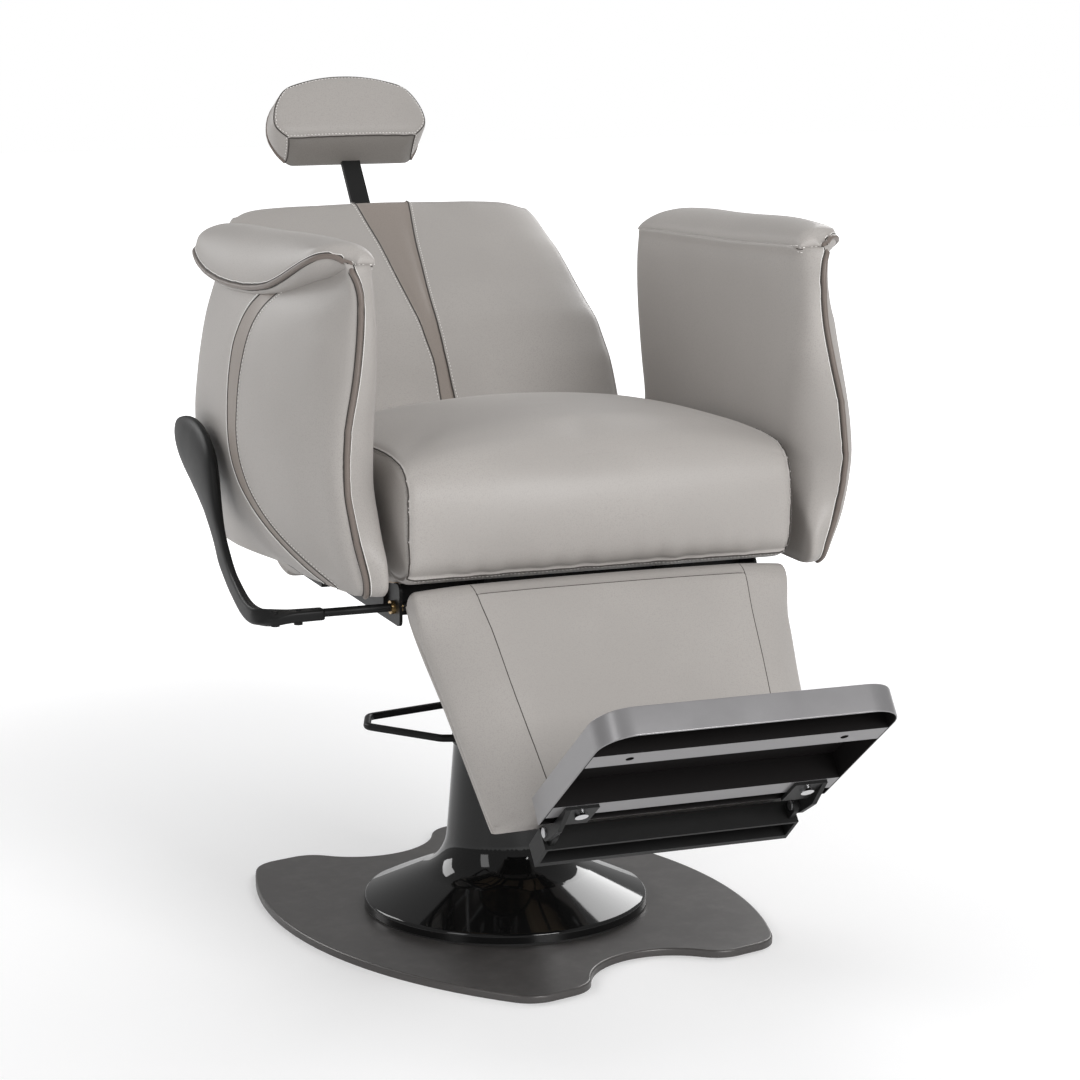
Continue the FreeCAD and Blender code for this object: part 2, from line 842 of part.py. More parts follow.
def makeSwivel():
    hub = post("hub_post", "hub_radius", "bearing_top", "hub_top")
    socket = post("hub_socket", "spigot_radius + shaft_clearance", "bearing_top",
                  "bearing_top + spigot_long + 1")
    node("swivel_hub", cut("hub", hub, socket))
    slab = box("swivel_slab", ("-swivel_plate_half", "swivel_plate_half"),
               ("-swivel_plate_half", "swivel_plate_half"), ("hub_top", "frame_low"))
    node("swivel_plate", cut("swivel", slab, *hubBolts("swivel_hole", "hub_bolt_radius", "hub_top",
                                                       "frame_low")))
    shanks = hubBolts("hub_shank", "hub_bolt_radius", "hub_top", "frame_low + member_wall")
    heads = hubBolts("hub_head", "hub_bolt_radius * 1.8", "hub_top - bolt_head_high", "hub_top")
    node("hub_bolts", group("hub_bolt_set", *[fuse("hub_bolt_%d" % number, shank, head)
                                              for number, (shank, head) in enumerate(zip(shanks, heads))]))


def crossMember(name, front, rear):
    outer = box(name + "_outer", ("-rail_gap_half", "rail_gap_half"), (front, rear),
                ("frame_low", "frame_top"))
    inner = box(name + "_inner", ("-rail_gap_half", "rail_gap_half"),
                ("(%s) + member_wall" % front, "(%s) - member_wall" % rear),
                ("frame_low + member_wall", "frame_top - member_wall"))
    screws = seatScrews(name + "_hole", "screw_radius", "frame_low", "frame_top")
    return cut(name, outer, inner, *screws)


def seatScrews(name, radius, low, top):
    """Eight upright screw places, four on each cross member."""
    items = []
    rows = ("front_member_y + member_deep / 2", "rear_member_y - member_deep / 2")
    for row, y in enumerate(rows):
        for column, x in enumerate(("-board_half_width * 0.8", "-board_half_width * 0.5",
                                    "board_half_width * 0.5", "board_half_width * 0.8")):
            items.append(post("%s_%d_%d" % (name, row, column), radius, low, top, x=x, y=y))
    return items


def makeSeatFrame():
    front = crossMember("front_member", "front_member_y", "front_member_rear")
    rear = crossMember("rear_member", "rear_member_front", "rear_member_y")
    node("cross_members", group("members", front, rear))

    leftRail = box("rail_left_plate", ("rail_gap_half", "rail_outer"), ("rail_front", "rail_rear"),
                   ("rail_low", "frame_top"))
    leftRound = rounded("rail_left", leftRail, 2 * size("rail_thick"), alongX)
    rightRail = box("rail_right_plate", ("-rail_outer", "-rail_gap_half"), ("rail_front", "rail_rear"),
                    ("rail_low", "frame_top"))
    hole = rod("rail_lever_hole", "bush_radius", "-rail_outer", "-rail_gap_half", y="lever_y", z="lever_z")
    rightRound = rounded("rail_right_round", rightRail, 2 * size("rail_thick"), alongX)
    node("seat_rails", group("rails", leftRound, cut("rail_right", rightRound, hole)))

    outer = box("channel_outer", ("channel_inner_half", "channel_inner_half + channel_wide"),
                ("front_member_rear", "rear_member_front"), ("frame_low", "frame_top"))
    inner = box("channel_inner", ("channel_inner_half", "channel_inner_half + channel_wide - member_wall"),
                ("front_member_rear", "rear_member_front"),
                ("frame_low + member_wall", "frame_top - member_wall"))
    holes = hubBolts("channel_hole", "hub_bolt_radius", "frame_low", "frame_low + member_wall")
    node("seat_channels", pair("channels", cut("channel", outer, inner, *holes)))

    board = box("board", ("-board_half_width", "board_half_width"), ("board_front", "seat_rear"),
                ("frame_top", "board_top"))
    boardRound = rounded("board_round", board, size("board_thick"), upright)
    holes = seatScrews("board_hole", "screw_radius", "frame_top", "board_top")
    node("seat_board", cut("board_drilled", boardRound, *holes))
    shanks = seatScrews("seat_screw_shank", "screw_radius", "frame_low", "board_top - screw_head_high")
    heads = seatScrews("seat_screw_head", "screw_head_radius", "frame_low - screw_head_high", "frame_low")
    node("seat_screws", group("seat_screw_set", *[fuse("seat_screw_%d" % number, shank, head)
                                                  for number, (shank, head)
                                                  in enumerate(zip(shanks, heads))]))


# Cushions: lofts through closed sections, each crowned and drawn in at the sides.


def cushionSection(half, low, shoulder, crown, place):
    """Flat underside, drawn-in sides, round shoulders and a crowned top."""
    drawn = 0.035 * half
    turn = 0.16 * half
    wide = half + drawn / 3
    middle = (low + shoulder) / 2
    steps = [
        (place(-half + drawn, low), None),
        (place(half - drawn, low), place(wide, middle)),
        (place(half, shoulder), place(half - 0.3 * turn, shoulder + 0.72 * (crown - shoulder) * 0.7)),
        (place(half - turn, shoulder + 0.7 * (crown - shoulder)), place(0, crown)),
        (place(-half + turn, shoulder + 0.7 * (crown - shoulder)),
         place(-half + 0.3 * turn, shoulder + 0.72 * (crown - shoulder) * 0.7)),
        (place(-half, shoulder), place(-wide, middle)),
    ]
    return loop(steps)


def evened(stations):
    """Adds stations between far ones, so that a loft through them doesn't swing past its sections."""
    rows = [tuple(map(float, row)) for row in stations]
    number = 1
    while number < len(rows):
        gap = abs(rows[number][0] - rows[number - 1][0])
        before = abs(rows[number - 1][0] - rows[number - 2][0]) if number > 1 else gap
        after = abs(rows[number + 1][0] - rows[number][0]) if number + 1 < len(rows) else gap
        if gap > 1.9 * min(before, after) and gap > 12:
            share = 0.36 if before < after else 0.64
            rows.insert(number, tuple(a + (b - a) * share for a, b in zip(rows[number - 1], rows[number])))
        else:
            number += 1
    return rows


def makeSeatCushion():
    half = size("seat_half_width")
    low = size("board_top") + size("cushion_gap")
    crown = size("seat_crown_top")
    edge = crown - size("seat_edge_drop")
    front = size("seat_front")
    rear = size("seat_rear")
    # distance in from the end, narrowing, lift of the underside, drop of the edge, drop of the crown
    stations = [
        (rear, 16, 10, 32, 44),
        (rear - 8, 4, 1, 16, 27),
        (rear - 42, 0, 0, 10, 13),
        (rear - 200, 0, 0, 2, 0),
        (front + 115, 0, 0, 0, 0),
        (front + 55, 1, 0, 4, 7),
        (front + 25, 5, 4, 19, 26),
        (front + 7, 16, 20, 42, 54),
        (front, 36, 44, 66, 82),
    ]
    wires = []
    for y, narrow, lift, edgeDrop, crownDrop in evened(stations):
        wires.append(cushionSection(half - narrow, low + lift, edge - edgeDrop, crown - crownDrop,
                                    lambda x, z, y=y: Vector(x, y, z)))
    node("seat_cushion", feature("seat_cushion_loft", Part.makeLoft(wires, True)))


def armSection(z, front, inner, bulge, rear):
    """An arm's level section: straight inner face, round front, full outer side, round rear."""
    inside = size("arm_inner")
    frontInner = Vector(inside, front + inner, z)
    corner = Vector(inside + (bulge - inside) * 0.45, front, z)
    side = Vector(bulge, front + (rear - front) * 0.55, z)
    rearOuter = Vector(bulge - 12, rear - 28, z)
    rearInner = Vector(inside, rear - 10, z)
    steps = [
        (rearInner, None),
        (frontInner, Vector((inside + corner.x) / 2, front + inner * 0.25 - 3, z)),
        (corner, Vector(bulge - (bulge - inside) * 0.14, front + (side.y - front) * 0.3, z)),
        (side, Vector(bulge - 2, (side.y + rearOuter.y) / 2, z)),
        (rearOuter, Vector((inside + bulge) / 2 + 14, rear - 4, z)),
    ]
    return loop(steps)


def makeArms():
    low = size("frame_top")
    top = size("arm_top")
    widest = size("arm_widest")
    front = size("arm_front")
    rear = size("arm_rear")
    inside = size("arm_inner")
    # height, front face, inner front corner behind it, outer bulge, rear face
    stations = [
        (low, front + 20, 6, widest - 43, rear - 6),
        (low + 38, front + 2, 2, widest - 27, rear - 1),
        (low + 98, front, 8, widest - 9, rear),
        (low + 168, front + 4, 14, widest, rear + 1),
        (low + 238, front + 10, 10, widest - 4, rear + 2),
        (low + 308, front + 19, 4, widest - 18, rear + 3),
        (top, front + 22, 12, widest - 33, rear + 4),
    ]
    wires = [armSection(z, face, inner, bulge, back) for z, face, inner, bulge, back in stations]
    armLeft = Part.makeLoft(wires, True)

    seam = size("arm_inner_top")
    long = rear - front
    wide = size("wing_wide")
    high = size("wing_high")
    roll = size("wing_roll")
    ridge = top + high
    # share of the arm's length; as shares of the wing's height and width: seam rise, ridge place
    # and drop, edge place and drop, tuck height
    rises = [
        (0.040, -0.09, 0.46, 0.74, 0.31, 0.97, 0.00),
        (0.062, 0.09, 0.53, 0.29, 0.46, 0.62, 0.18),
        (0.127, 0.18, 0.61, 0.03, 0.53, 0.38, 0.47),
        (0.282, 0.13, 0.72, 0.00, 0.71, 0.50, 0.50),
        (0.473, 0.07, 0.85, 0.09, 0.85, 0.77, 0.06),
        (0.644, 0.03, 0.89, 0.16, 0.95, 1.12, -0.20),
        (0.818, -0.04, 0.87, 0.26, 1.00, 1.09, -0.20),
        (0.945, -0.12, 0.83, 0.44, 0.96, 1.00, -0.18),
        (0.989, -0.21, 0.72, 0.59, 0.85, 1.06, -0.12),
        (1.007, -0.35, 0.63, 0.82, 0.72, 1.12, -0.09),
    ]
    wires = []
    for share, rise, ridgeShare, drop, edgeShare, fall, tuck in rises:
        y = front + long * share
        edge = ridge - fall * high
        out = inside + edgeShare * wide
        inner = Vector(inside, y, seam + rise * high)
        crest = Vector(inside + ridgeShare * wide, y, ridge - drop * high)
        lip = Vector(out, y, edge)
        hollow = Vector(out - 0.2 * wide, y, min(top + (tuck - 0.15) * high, edge - roll))
        foot = Vector(inside, y, min(top - 0.35 * high, edge - 0.2 * high))
        wires.append(loop([
            (foot, None),
            (inner, Vector((inner.x + crest.x) / 2, y, (inner.z + crest.z) / 2 + roll)),
            (crest, Vector((crest.x + lip.x) / 2 + roll, y, (crest.z + lip.z) / 2 + roll)),
            (lip, Vector(out - roll, y, lip.z - roll)),
            (hollow, None),
        ]))
    wingLeft = Part.makeLoft(wires, True).cut(armLeft)
    wingLeft = max(wingLeft.Solids, key=lambda solid: solid.Volume)

    low = size("frame_top")
    holes = [Part.makeCylinder(size("arm_bolt_radius"), size("arm_bolt_long"), Vector(x, y, low))
             for x, y in armBoltPlaces()]
    armLeft = armLeft.cut(Part.Compound(holes))
    node("arm_body_left", feature("arm_left", armLeft))
    node("arm_wing_left", feature("wing_left", wingLeft))
    node("arm_body_right", mirrored("arm_right", nodes[-2]))
    node("arm_wing_right", mirrored("wing_right", nodes[-2]))


def armBoltPlaces():
    x = size("rail_outer") + size("bracket_reach") * size("arm_bolt_across")
    front = size("bracket_front")
    rear = size("rail_rear")
    return [(x, front + (rear - front) * share) for share in armBoltShares]


def makeArmBrackets():
    side = box("bracket_side", ("rail_outer", "rail_outer + bracket_thick"),
               ("bracket_front", "rail_rear"), ("frame_top - bracket_drop", "frame_top"))
    shelf = box("bracket_shelf", ("rail_outer", "rail_outer + bracket_reach"),
                ("bracket_front", "rail_rear"), ("frame_top - bracket_thick", "frame_top"))
    places = ["bracket_front + (rail_rear - bracket_front) * %s" % share for share in armBoltShares]
    across = "rail_outer + bracket_reach * arm_bolt_across"
    holes = [post("bracket_hole_%d" % number, "arm_bolt_radius", "frame_top - bracket_thick", "frame_top",
                  x=across, y=y) for number, y in enumerate(places)]
    node("arm_brackets", pair("brackets", cut("bracket", fuse("bracket_angle", side, shelf), *holes)))
    bolts = []
    for number, y in enumerate(places):
        shank = post("arm_shank_%d" % number, "arm_bolt_radius", "frame_top - bracket_thick",
                     "frame_top + arm_bolt_long", x=across, y=y)
        head = post("arm_head_%d" % number, "arm_bolt_radius * 1.8",
                    "frame_top - bracket_thick - bolt_head_high", "frame_top - bracket_thick",
                    x=across, y=y)
        bolts.append(fuse("arm_bolt_%d" % number, shank, head))
    node("arm_bolts", pair("arm_bolt_sides", group("arm_bolt_set", *bolts)))


# Pivots between the seat and the back.


def makeReclineEars():
    half = "ear_eye_radius"
    points = [("rear_member_y", "back_pivot_z - " + half), ("back_pivot_y", "back_pivot_z - " + half),
              ("back_pivot_y", "back_pivot_z + " + half), ("rear_member_y", "back_pivot_z + " + half)]
    ear = plate("ear", "ear_inner", "hinge_arm_thick", points,
                eyes=[("back_pivot_y", "back_pivot_z", "ear_eye_radius")],
                bores=[("back_pivot_y", "back_pivot_z", "recline_pin_radius")])
    node("recline_ears", pair("ears", ear))
    shank = rod("recline_shank", "recline_pin_radius", "hinge_arm_inner - 1", "ear_outer",
                y="back_pivot_y", z="back_pivot_z")
    cap = rod("recline_cap", "recline_pin_radius * 1.4", "ear_outer", "ear_outer + 3",
              y="back_pivot_y", z="back_pivot_z")
    legPin = rod("leg_pin", "leg_pin_radius", "lug_inner - 2", "leg_arm_outer + 1",
                 y="leg_pivot_y", z="leg_pivot_z")
    reclinePin = fuse("recline_pin", shank, cap)
    node("pivot_pins", pair("pivot_pin_sides", group("pivot_pin_set", reclinePin, legPin)))


def makeBackHingeArms():
    rear = "cover_rear - 2 * back_cover_wall"
    points = [
        ("0", "recline_pin_radius * 2.25"),
        ("back_rear_face", "recline_pin_radius * 2.25"),
        ("back_board_rear", "back_board_low"),
        ("back_board_rear", "hinge_arm_top"),
        (rear, "hinge_arm_top"),
        (rear, "0"),
        ("crank_behind + crank_eye_radius", "-crank_below"),
        ("crank_behind", "-crank_below - crank_eye_radius"),
        ("crank_behind - crank_eye_radius", "-crank_below"),
        ("-recline_pin_radius * 2.25", "0"),
    ]
    arm = plate("back_arm", "hinge_arm_inner", "hinge_arm_thick", points,
                eyes=[("0", "0", "recline_pin_radius * 2.25"),
                      ("crank_behind", "-crank_below", "crank_eye_radius")],
                bores=[("0", "0", "recline_pin_radius + shaft_clearance"),
                       ("crank_behind", "-crank_below", "crank_pin_radius")])
    flange = box("back_arm_flange", ("hinge_arm_outer", "hinge_arm_outer + hinge_flange_wide"),
                 ("back_board_rear", "back_board_rear + hinge_flange_thick"),
                 ("back_cover_low + back_cover_slope / 2.5", "hinge_arm_top"))
    node("back_hinge_arms", onBack(pair("back_arms", fuse("back_arm_welded", arm, flange))))

    right = rod("crank_pin_right", "crank_pin_radius", "-hinge_arm_outer", "spring_x + spring_eye_wide + 2",
                y="crank_behind", z="-crank_below")
    left = rod("crank_pin_left", "crank_pin_radius", "link_inner - 1", "hinge_arm_outer",
               y="crank_behind", z="-crank_below")
    node("crank_pins", onBack(group("crank_pin_set", right, left)))


def makeBackrest():
    roll = size("roll_radius")
    rear = size("back_rear_face") - size("cushion_gap")
    half = size("back_half_width")
    topHalf = size("back_top_half_width")
    lumbar = size("lumbar_front")
    topFront = size("back_top_front")
    long = size("back_long")
    # height along the back, front surface, rear surface, half width
    stations = []
    for share in (-0.97, -0.8, -0.45, 0):
        depth = roll * math.sqrt(1 - share * share)
        stations.append((roll * share, depth, min(depth, rear), half - 5 - 18 * share * share))
    stations += [
        (100, roll + 2.5, rear, half - 2),
        (170, lumbar - 8, rear, half),
        (216, lumbar, rear, half),
        (262, lumbar - 4, rear, half - 1),
        (300, lumbar - 11, rear, half - 3),
        (363, lumbar - 29, rear, half - 6),
        (443, topFront + 21, rear, half - 14),
        (long * 0.926, topFront + 7, rear, topHalf + 6),
        (long - 14, topFront - 1, rear - 2, topHalf - 2),
        (long - 4, topFront - 12, rear - 9, topHalf - 12),
        (long, topFront - 24, rear - 20, topHalf - 26),
    ]
    wires = []
    for up, front, back, wide in evened(stations):
        edge = front - min(16, 0.2 * (front + back))
        wires.append(cushionSection(wide, -back, edge, front,
                                    lambda x, out, up=up: Vector(x, -out, up)))
    cushion = Part.makeLoft(wires, True)
    slotInner = size("link_inner") - 3
    slotOuter = size("ear_outer") + 6
    slotHigh = size("hinge_slot_high")
    slots = []
    for low, high in ((-slotOuter, size("spring_x") + size("spring_eye_wide") + 6), (slotInner, slotOuter)):
        slots.append(Part.makeBox(high - low, 3 * roll, slotHigh + 1.5 * roll,
                                  Vector(low, -1.5 * roll, -1.5 * roll)))
    cushion = cushion.cut(Part.Compound(slots))
    node("back_cushion", onBack(feature("back_cushion_loft", cushion)))

    board = box("back_panel", ("-back_board_half_width", "back_board_half_width"),
                ("back_rear_face", "back_board_rear"), ("back_board_low", "guide_high"))
    boardRound = rounded("back_panel_round", board, size("back_board_thick"), alongY)
    node("back_board", onBack(boardRound))
    makeBackCover()


def makeBackCover():
    wide = "2 * back_cover_half_width"
    outer = plate("back_shell", "-back_cover_half_width", wide, [
        ("back_board_rear", "back_cover_low"),
        ("cover_rear", "back_cover_low + back_cover_slope"),
        ("cover_rear", "guide_high"),
        ("back_board_rear", "guide_high"),
    ])
    inner = plate("back_shell_inside", "-back_cover_half_width + back_cover_wall",
                  wide + " - 2 * back_cover_wall", [
        ("back_board_rear - 1", "back_cover_low + back_cover_wall"),
        ("back_board_rear", "back_cover_low + back_cover_wall"),
        ("cover_rear - back_cover_wall", "back_cover_low + back_cover_slope + back_cover_wall"),
        ("cover_rear - back_cover_wall", "guide_high - back_cover_wall"),
        ("back_board_rear - 1", "guide_high - back_cover_wall"),
    ])
    rear = size("cover_rear")

    def onRearFace(edge):
        return all(corner.Y > rear - 0.01 for corner in edge.Vertexes)

    shell = rounded("back_shell_round", outer, size("back_cover_round"), onRearFace)
    slots = [box("back_cover_slot_" + name, (low, high), ("back_board_rear - 1", "cover_rear - 5"),
                 ("back_cover_low - 1", "back_cover_low + back_cover_slope + 5"))
             for name, low, high in (("left", "hinge_arm_inner - 1", "hinge_arm_outer + 1"),
                                     ("right", "-hinge_arm_outer - 1", "-hinge_arm_inner + 1"))]
    mouth = box("back_cover_mouth", ("-bar_wide / 2 - 2", "bar_wide / 2 + 2"),
                ("bar_front - 1.5", "bar_rear + 1.5"),
                ("guide_high - 2 * back_cover_wall", "guide_high + 1"))
    node("back_cover", onBack(cut("back_cover_shell", shell, inner, slots[0], slots[1], mouth)))


# Headrest, its bar and the guide on the back board.


def makeHeadrest():
    block = box("guide_block", ("-bar_wide / 2 - guide_wall", "bar_wide / 2 + guide_wall"),
                ("back_board_rear", "bar_rear + guide_wall"), ("guide_low", "guide_high - back_cover_wall"))
    bore = box("guide_bore", ("-bar_wide / 2 - slide_clearance", "bar_wide / 2 + slide_clearance"),
               ("bar_front - slide_clearance", "bar_rear + slide_clearance"), ("guide_low", "guide_high"))
    node("headrest_guide", onBack(cut("guide", block, bore)))

    strip = box("bar_strip", ("-bar_wide / 2", "bar_wide / 2"), ("bar_front", "bar_rear"),
                ("bar_low", "headrest_pivot_up"))
    barrel = rod("bar_barrel", "barrel_radius", "-bar_wide / 2", "bar_wide / 2",
                 y="bar_middle", z="headrest_pivot_up")
    bore = rod("bar_bore", "headrest_pin_radius + shaft_clearance", "-bar_wide / 2", "bar_wide / 2",
               y="bar_middle", z="headrest_pivot_up")
    node("headrest_bar", onBack(cut("bar", fuse("bar_body", strip, barrel), bore)))

    side = "bar_wide / 2 + 1"
    clevis = plate("clevis", side, "clevis_thick", [
        ("-notch_deep", "-barrel_radius"), ("0", "-barrel_radius"),
        ("0", "barrel_radius"), ("-notch_deep", "barrel_radius"),
    ], eyes=[("0", "0", "barrel_radius")],
        bores=[("0", "0", "headrest_pin_radius + shaft_clearance")])
    other = mirrored("clevis_other", clevis)
    back = box("clevis_back", ("-notch_half_wide", "notch_half_wide"),
               ("-notch_deep - headrest_plate_thick", "-notch_deep"),
               ("headrest_low / 2", "notch_high * 3"))
    node("headrest_plate", onHeadrest(fuse("clevis_welded", clevis, other, back)))
    pin = rod("headrest_pin_rod", "headrest_pin_radius", "-bar_wide / 2 - clevis_thick - 2",
              "bar_wide / 2 + clevis_thick + 2")
    node("headrest_pin", onHeadrest(group("headrest_pin_set", pin)))

    low = size("headrest_low")
    high = size("headrest_high")
    front = size("headrest_front")
    rear = size("headrest_rear")
    wide = size("headrest_half_width")
    narrow = size("headrest_bottom_half_width")
    crown = size("headrest_crown")
    # height, half width, front surface at the edge, crown, rear surface
    stations = [
        (low, narrow - 12, rear + 14, 3, rear + 4),
        (low + 3, narrow - 2, rear + 24, 4, rear + 1),
        (low + 16, narrow + 4, front - 4, crown * 0.6, rear),
        (low + 40, wide - 4, front, crown, rear),
        (low + 62, wide, front, crown, rear),
        (high - 42, wide - 9, front, crown, rear),
        (high - 22, wide - 26, front - 1, crown * 0.8, rear + 2),
        (high - 8, wide - 48, front - 8, crown * 0.5, rear + 8),
        (high, wide - 70, front - 20, 3, rear + 18),
    ]
    wires = [cushionSection(half, back, face, face + puff, lambda x, out, up=up: Vector(x, -out, up))
             for up, half, face, puff, back in evened(stations)]
    pad_ = Part.makeLoft(wires, True)
    deep = size("notch_deep") + size("headrest_plate_thick")
    half = size("notch_half_wide")
    top = 3 * size("notch_high")
    notch = Part.makeBox(2 * half, deep + wide, top + wide, Vector(-half, -deep, -wide))
    node("headrest_pad", onHeadrest(feature("headrest_pad_loft", pad_.cut(notch))))


# Leg rest.


def makeLegRest():
    lug = plate("lug", "lug_inner", "lug_thick", [
        ("leg_pivot_y", "leg_pivot_z - lug_eye_radius"),
        ("front_member_y", "leg_pivot_z - lug_eye_radius"),
        ("front_member_y", "frame_top - 2"),
        ("board_front", "frame_top - 2"),
        ("board_front", "leg_pivot_z + lug_eye_radius"),
        ("leg_pivot_y", "leg_pivot_z + lug_eye_radius"),
    ], eyes=[("leg_pivot_y", "leg_pivot_z", "lug_eye_radius")],
        bores=[("leg_pivot_y", "leg_pivot_z", "leg_pin_radius")])
    node("leg_rest_lugs", pair("lugs", lug))
    board = box("leg_panel", ("-leg_board_half_width", "leg_board_half_width"),
                ("-leg_board_front", "-leg_board_behind"), ("leg_board_low", "leg_board_high"))
    node("leg_rest_board", onLeg(rounded("leg_panel_round", board, size("leg_board_thick"), alongY)))

    arm = plate("leg_arm", "leg_arm_inner", "hinge_arm_thick", [
        ("-leg_board_behind", "leg_pin_radius * 2"),
        ("0", "leg_pin_radius * 2"),
        ("leg_pin_radius * 2", "0"),
        ("leg_crank_behind + crank_eye_radius", "-leg_crank_below"),
        ("leg_crank_behind", "-leg_crank_below - crank_eye_radius"),
        ("0", "-leg_crank_below * 1.8"),
        ("-leg_board_behind + 12", "-2.7 * crank_long"),
        ("-leg_board_behind", "-2.7 * crank_long"),
    ], eyes=[("0", "0", "leg_pin_radius * 2"),
             ("leg_crank_behind", "-leg_crank_below", "crank_eye_radius")],
        bores=[("0", "0", "leg_pin_radius + shaft_clearance"),
               ("leg_crank_behind", "-leg_crank_below", "crank_pin_radius")])
    flange = box("leg_arm_flange", ("leg_arm_outer", "leg_arm_outer + hinge_flange_wide"),
                 ("-leg_board_behind", "-leg_board_behind + hinge_flange_thick"),
                 ("-2.5 * crank_long", "leg_pin_radius"))
    node("leg_hinge_arms", onLeg(pair("leg_arms", fuse("leg_arm_welded", arm, flange))))
    node("link_pins", onLeg(pair("leg_link_pins", rod("leg_link_pin", "crank_pin_radius", "leg_arm_inner",
                                                      "link_outer + 1", y="leg_crank_behind",
                                                      z="-leg_crank_below"))))
    makeLegPad()
    makeSyncLink()


def makeLegPad():
    high = size("leg_pad_high")
    low = size("leg_pad_low")
    front = size("leg_front")
    rear = size("leg_board_front") + size("cushion_gap")
    seam = size("leg_seam_top_half")
    edge = size("leg_edge_top_half")
    behind = size("leg_edge_behind")
    # height, front face drop, rear face rise, narrowing
    stations = [
        (high, 38, 10, 8),
        (high - 13, 19, 2, 2),
        (high - 27, 2, 0, 0),
        (high - 60, 0, 0, 0),
        (high - 190, 0, 0, 0),
        (low + 45, 0, 0, 0),
        (low + 16, 2, 0, 1),
        (low + 4, 10, 3, 8),
        (low, 28, 11, 18),
    ]
    wires = []
    for up, drop, rise, narrow in evened(stations):
        seamHalf = seam - size("leg_seam_taper") * (high - 30 - up) - narrow
        edgeHalf = edge - size("leg_edge_taper") * (high - up) - narrow
        face = front - drop
        side = min(face - 12, front - behind)
        back = rear + rise
        side = max(side, back + 4)
        puff = (face + side) / 2 + 6
        across = (seamHalf + edgeHalf) / 2 + 6

        def at(x, out):
            return Vector(x, -out, up)

        wires.append(loop([
            (at(-edgeHalf + 12, back), None),
            (at(edgeHalf - 12, back), at(edgeHalf - 2, (back + side) / 2 - 1)),
            (at(edgeHalf, side), at(across, puff)),
            (at(seamHalf, face), at(0, face + size("leg_crown"))),
            (at(-seamHalf, face), at(-across, puff)),
            (at(-edgeHalf, side), at(-edgeHalf + 2, (back + side) / 2 - 1)),
        ]))
    node("leg_rest_pad", onLeg(feature("leg_pad_loft", Part.makeLoft(wires, True))))


def makeSyncLink():
    """The bar that ties the leg rest to the back, made along the line between its two pins."""
    across = size("back_pivot_y") - size("leg_pivot_y")
    rise = size("back_pivot_z") - size("leg_pivot_z")
    long = math.hypot(across, rise)
    inner = size("link_inner")
    half = size("link_half_high")
    thick = size("link_thick")
    eye = size("crank_eye_radius")
    pin = size("crank_pin_radius")
    bar = Part.makeBox(thick, long, 2 * half, Vector(inner, 0, -half))
    bar = bar.fuse([Part.makeCylinder(eye, thick, Vector(inner, y, 0), Vector(1, 0, 0)) for y in (0, long)])
    bar = bar.removeSplitter()
    frontHole = Part.makeCylinder(pin + size("shaft_clearance"), thick, Vector(inner, 0, 0), Vector(1, 0, 0))
    rearHole = Part.makeCylinder(pin + size("link_slack"), thick, Vector(inner, long, 0), Vector(1, 0, 0))
    bar = bar.cut(frontHole).cut(rearHole)
    link = feature("link_bar", bar)
    links = pair("links", link)
    links.Placement = FreeCAD.Placement(
        Vector(0, size("leg_pivot_y"), size("leg_pivot_z") - size("crank_long")),
        FreeCAD.Rotation(Vector(1, 0, 0), math.degrees(math.atan2(rise, across))))
    node("sync_link", links)


# Footrest.


def makeFootrest():
    bar = box("channel_bar", ("-channel_half_width", "channel_half_width"),
              ("-channel_front", "-channel_rear"), ("channel_low", "channel_high"))
    straps = []
    for name, low, high in (("left", "strap_inner", "strap_inner + strap_wide"),
                            ("right", "-strap_inner - strap_wide", "-strap_inner")):
        straps.append(box("strap_" + name, (low, high), ("-leg_board_behind", "-channel_rear"),
                          ("channel_low", "strap_high")))
    lug = plate("foot_lug", "foot_lug_inner", "foot_lug_thick", [
        ("-channel_front + 5", "-foot_pivot_down + foot_eye_radius"),
        ("-foot_pivot_front", "-foot_pivot_down + foot_eye_radius"),
        ("-foot_pivot_front", "-foot_pivot_down - foot_eye_radius"),
        ("-channel_front + 5", "-foot_pivot_down - foot_eye_radius"),
    ], eyes=[("-foot_pivot_front", "-foot_pivot_down", "foot_eye_radius")])
    lugs = [lug, mirrored("foot_lug_other", lug)]
    holes = rod("foot_lug_bores", "foot_pin_radius", "-channel_half_width", "channel_half_width",
                y="-foot_pivot_front", z="-foot_pivot_down")
    hollow = box("channel_hollow",
                 ("-channel_half_width + channel_wall", "channel_half_width - channel_wall"),
                 ("-channel_front + channel_wall", "-leg_board_behind - 3"),
                 ("channel_low", "channel_high - channel_wall"))
    node("footrest_channel", onLeg(cut("channel_welded", fuse("channel_body", bar, *straps, *lugs),
                                       holes, hollow)))
    node("footrest_pins", onLeg(pair("foot_pins", rod("foot_pin", "foot_pin_radius", "foot_lug_inner - 2",
                                                      "foot_plate_outer + 2", y="-foot_pivot_front",
                                                      z="-foot_pivot_down"))))
    makeFootPan()


def freeCorner(edge):
    return upright(edge) and edge.Vertexes[0].Y < -size("pan_end") + size("pan_corner")


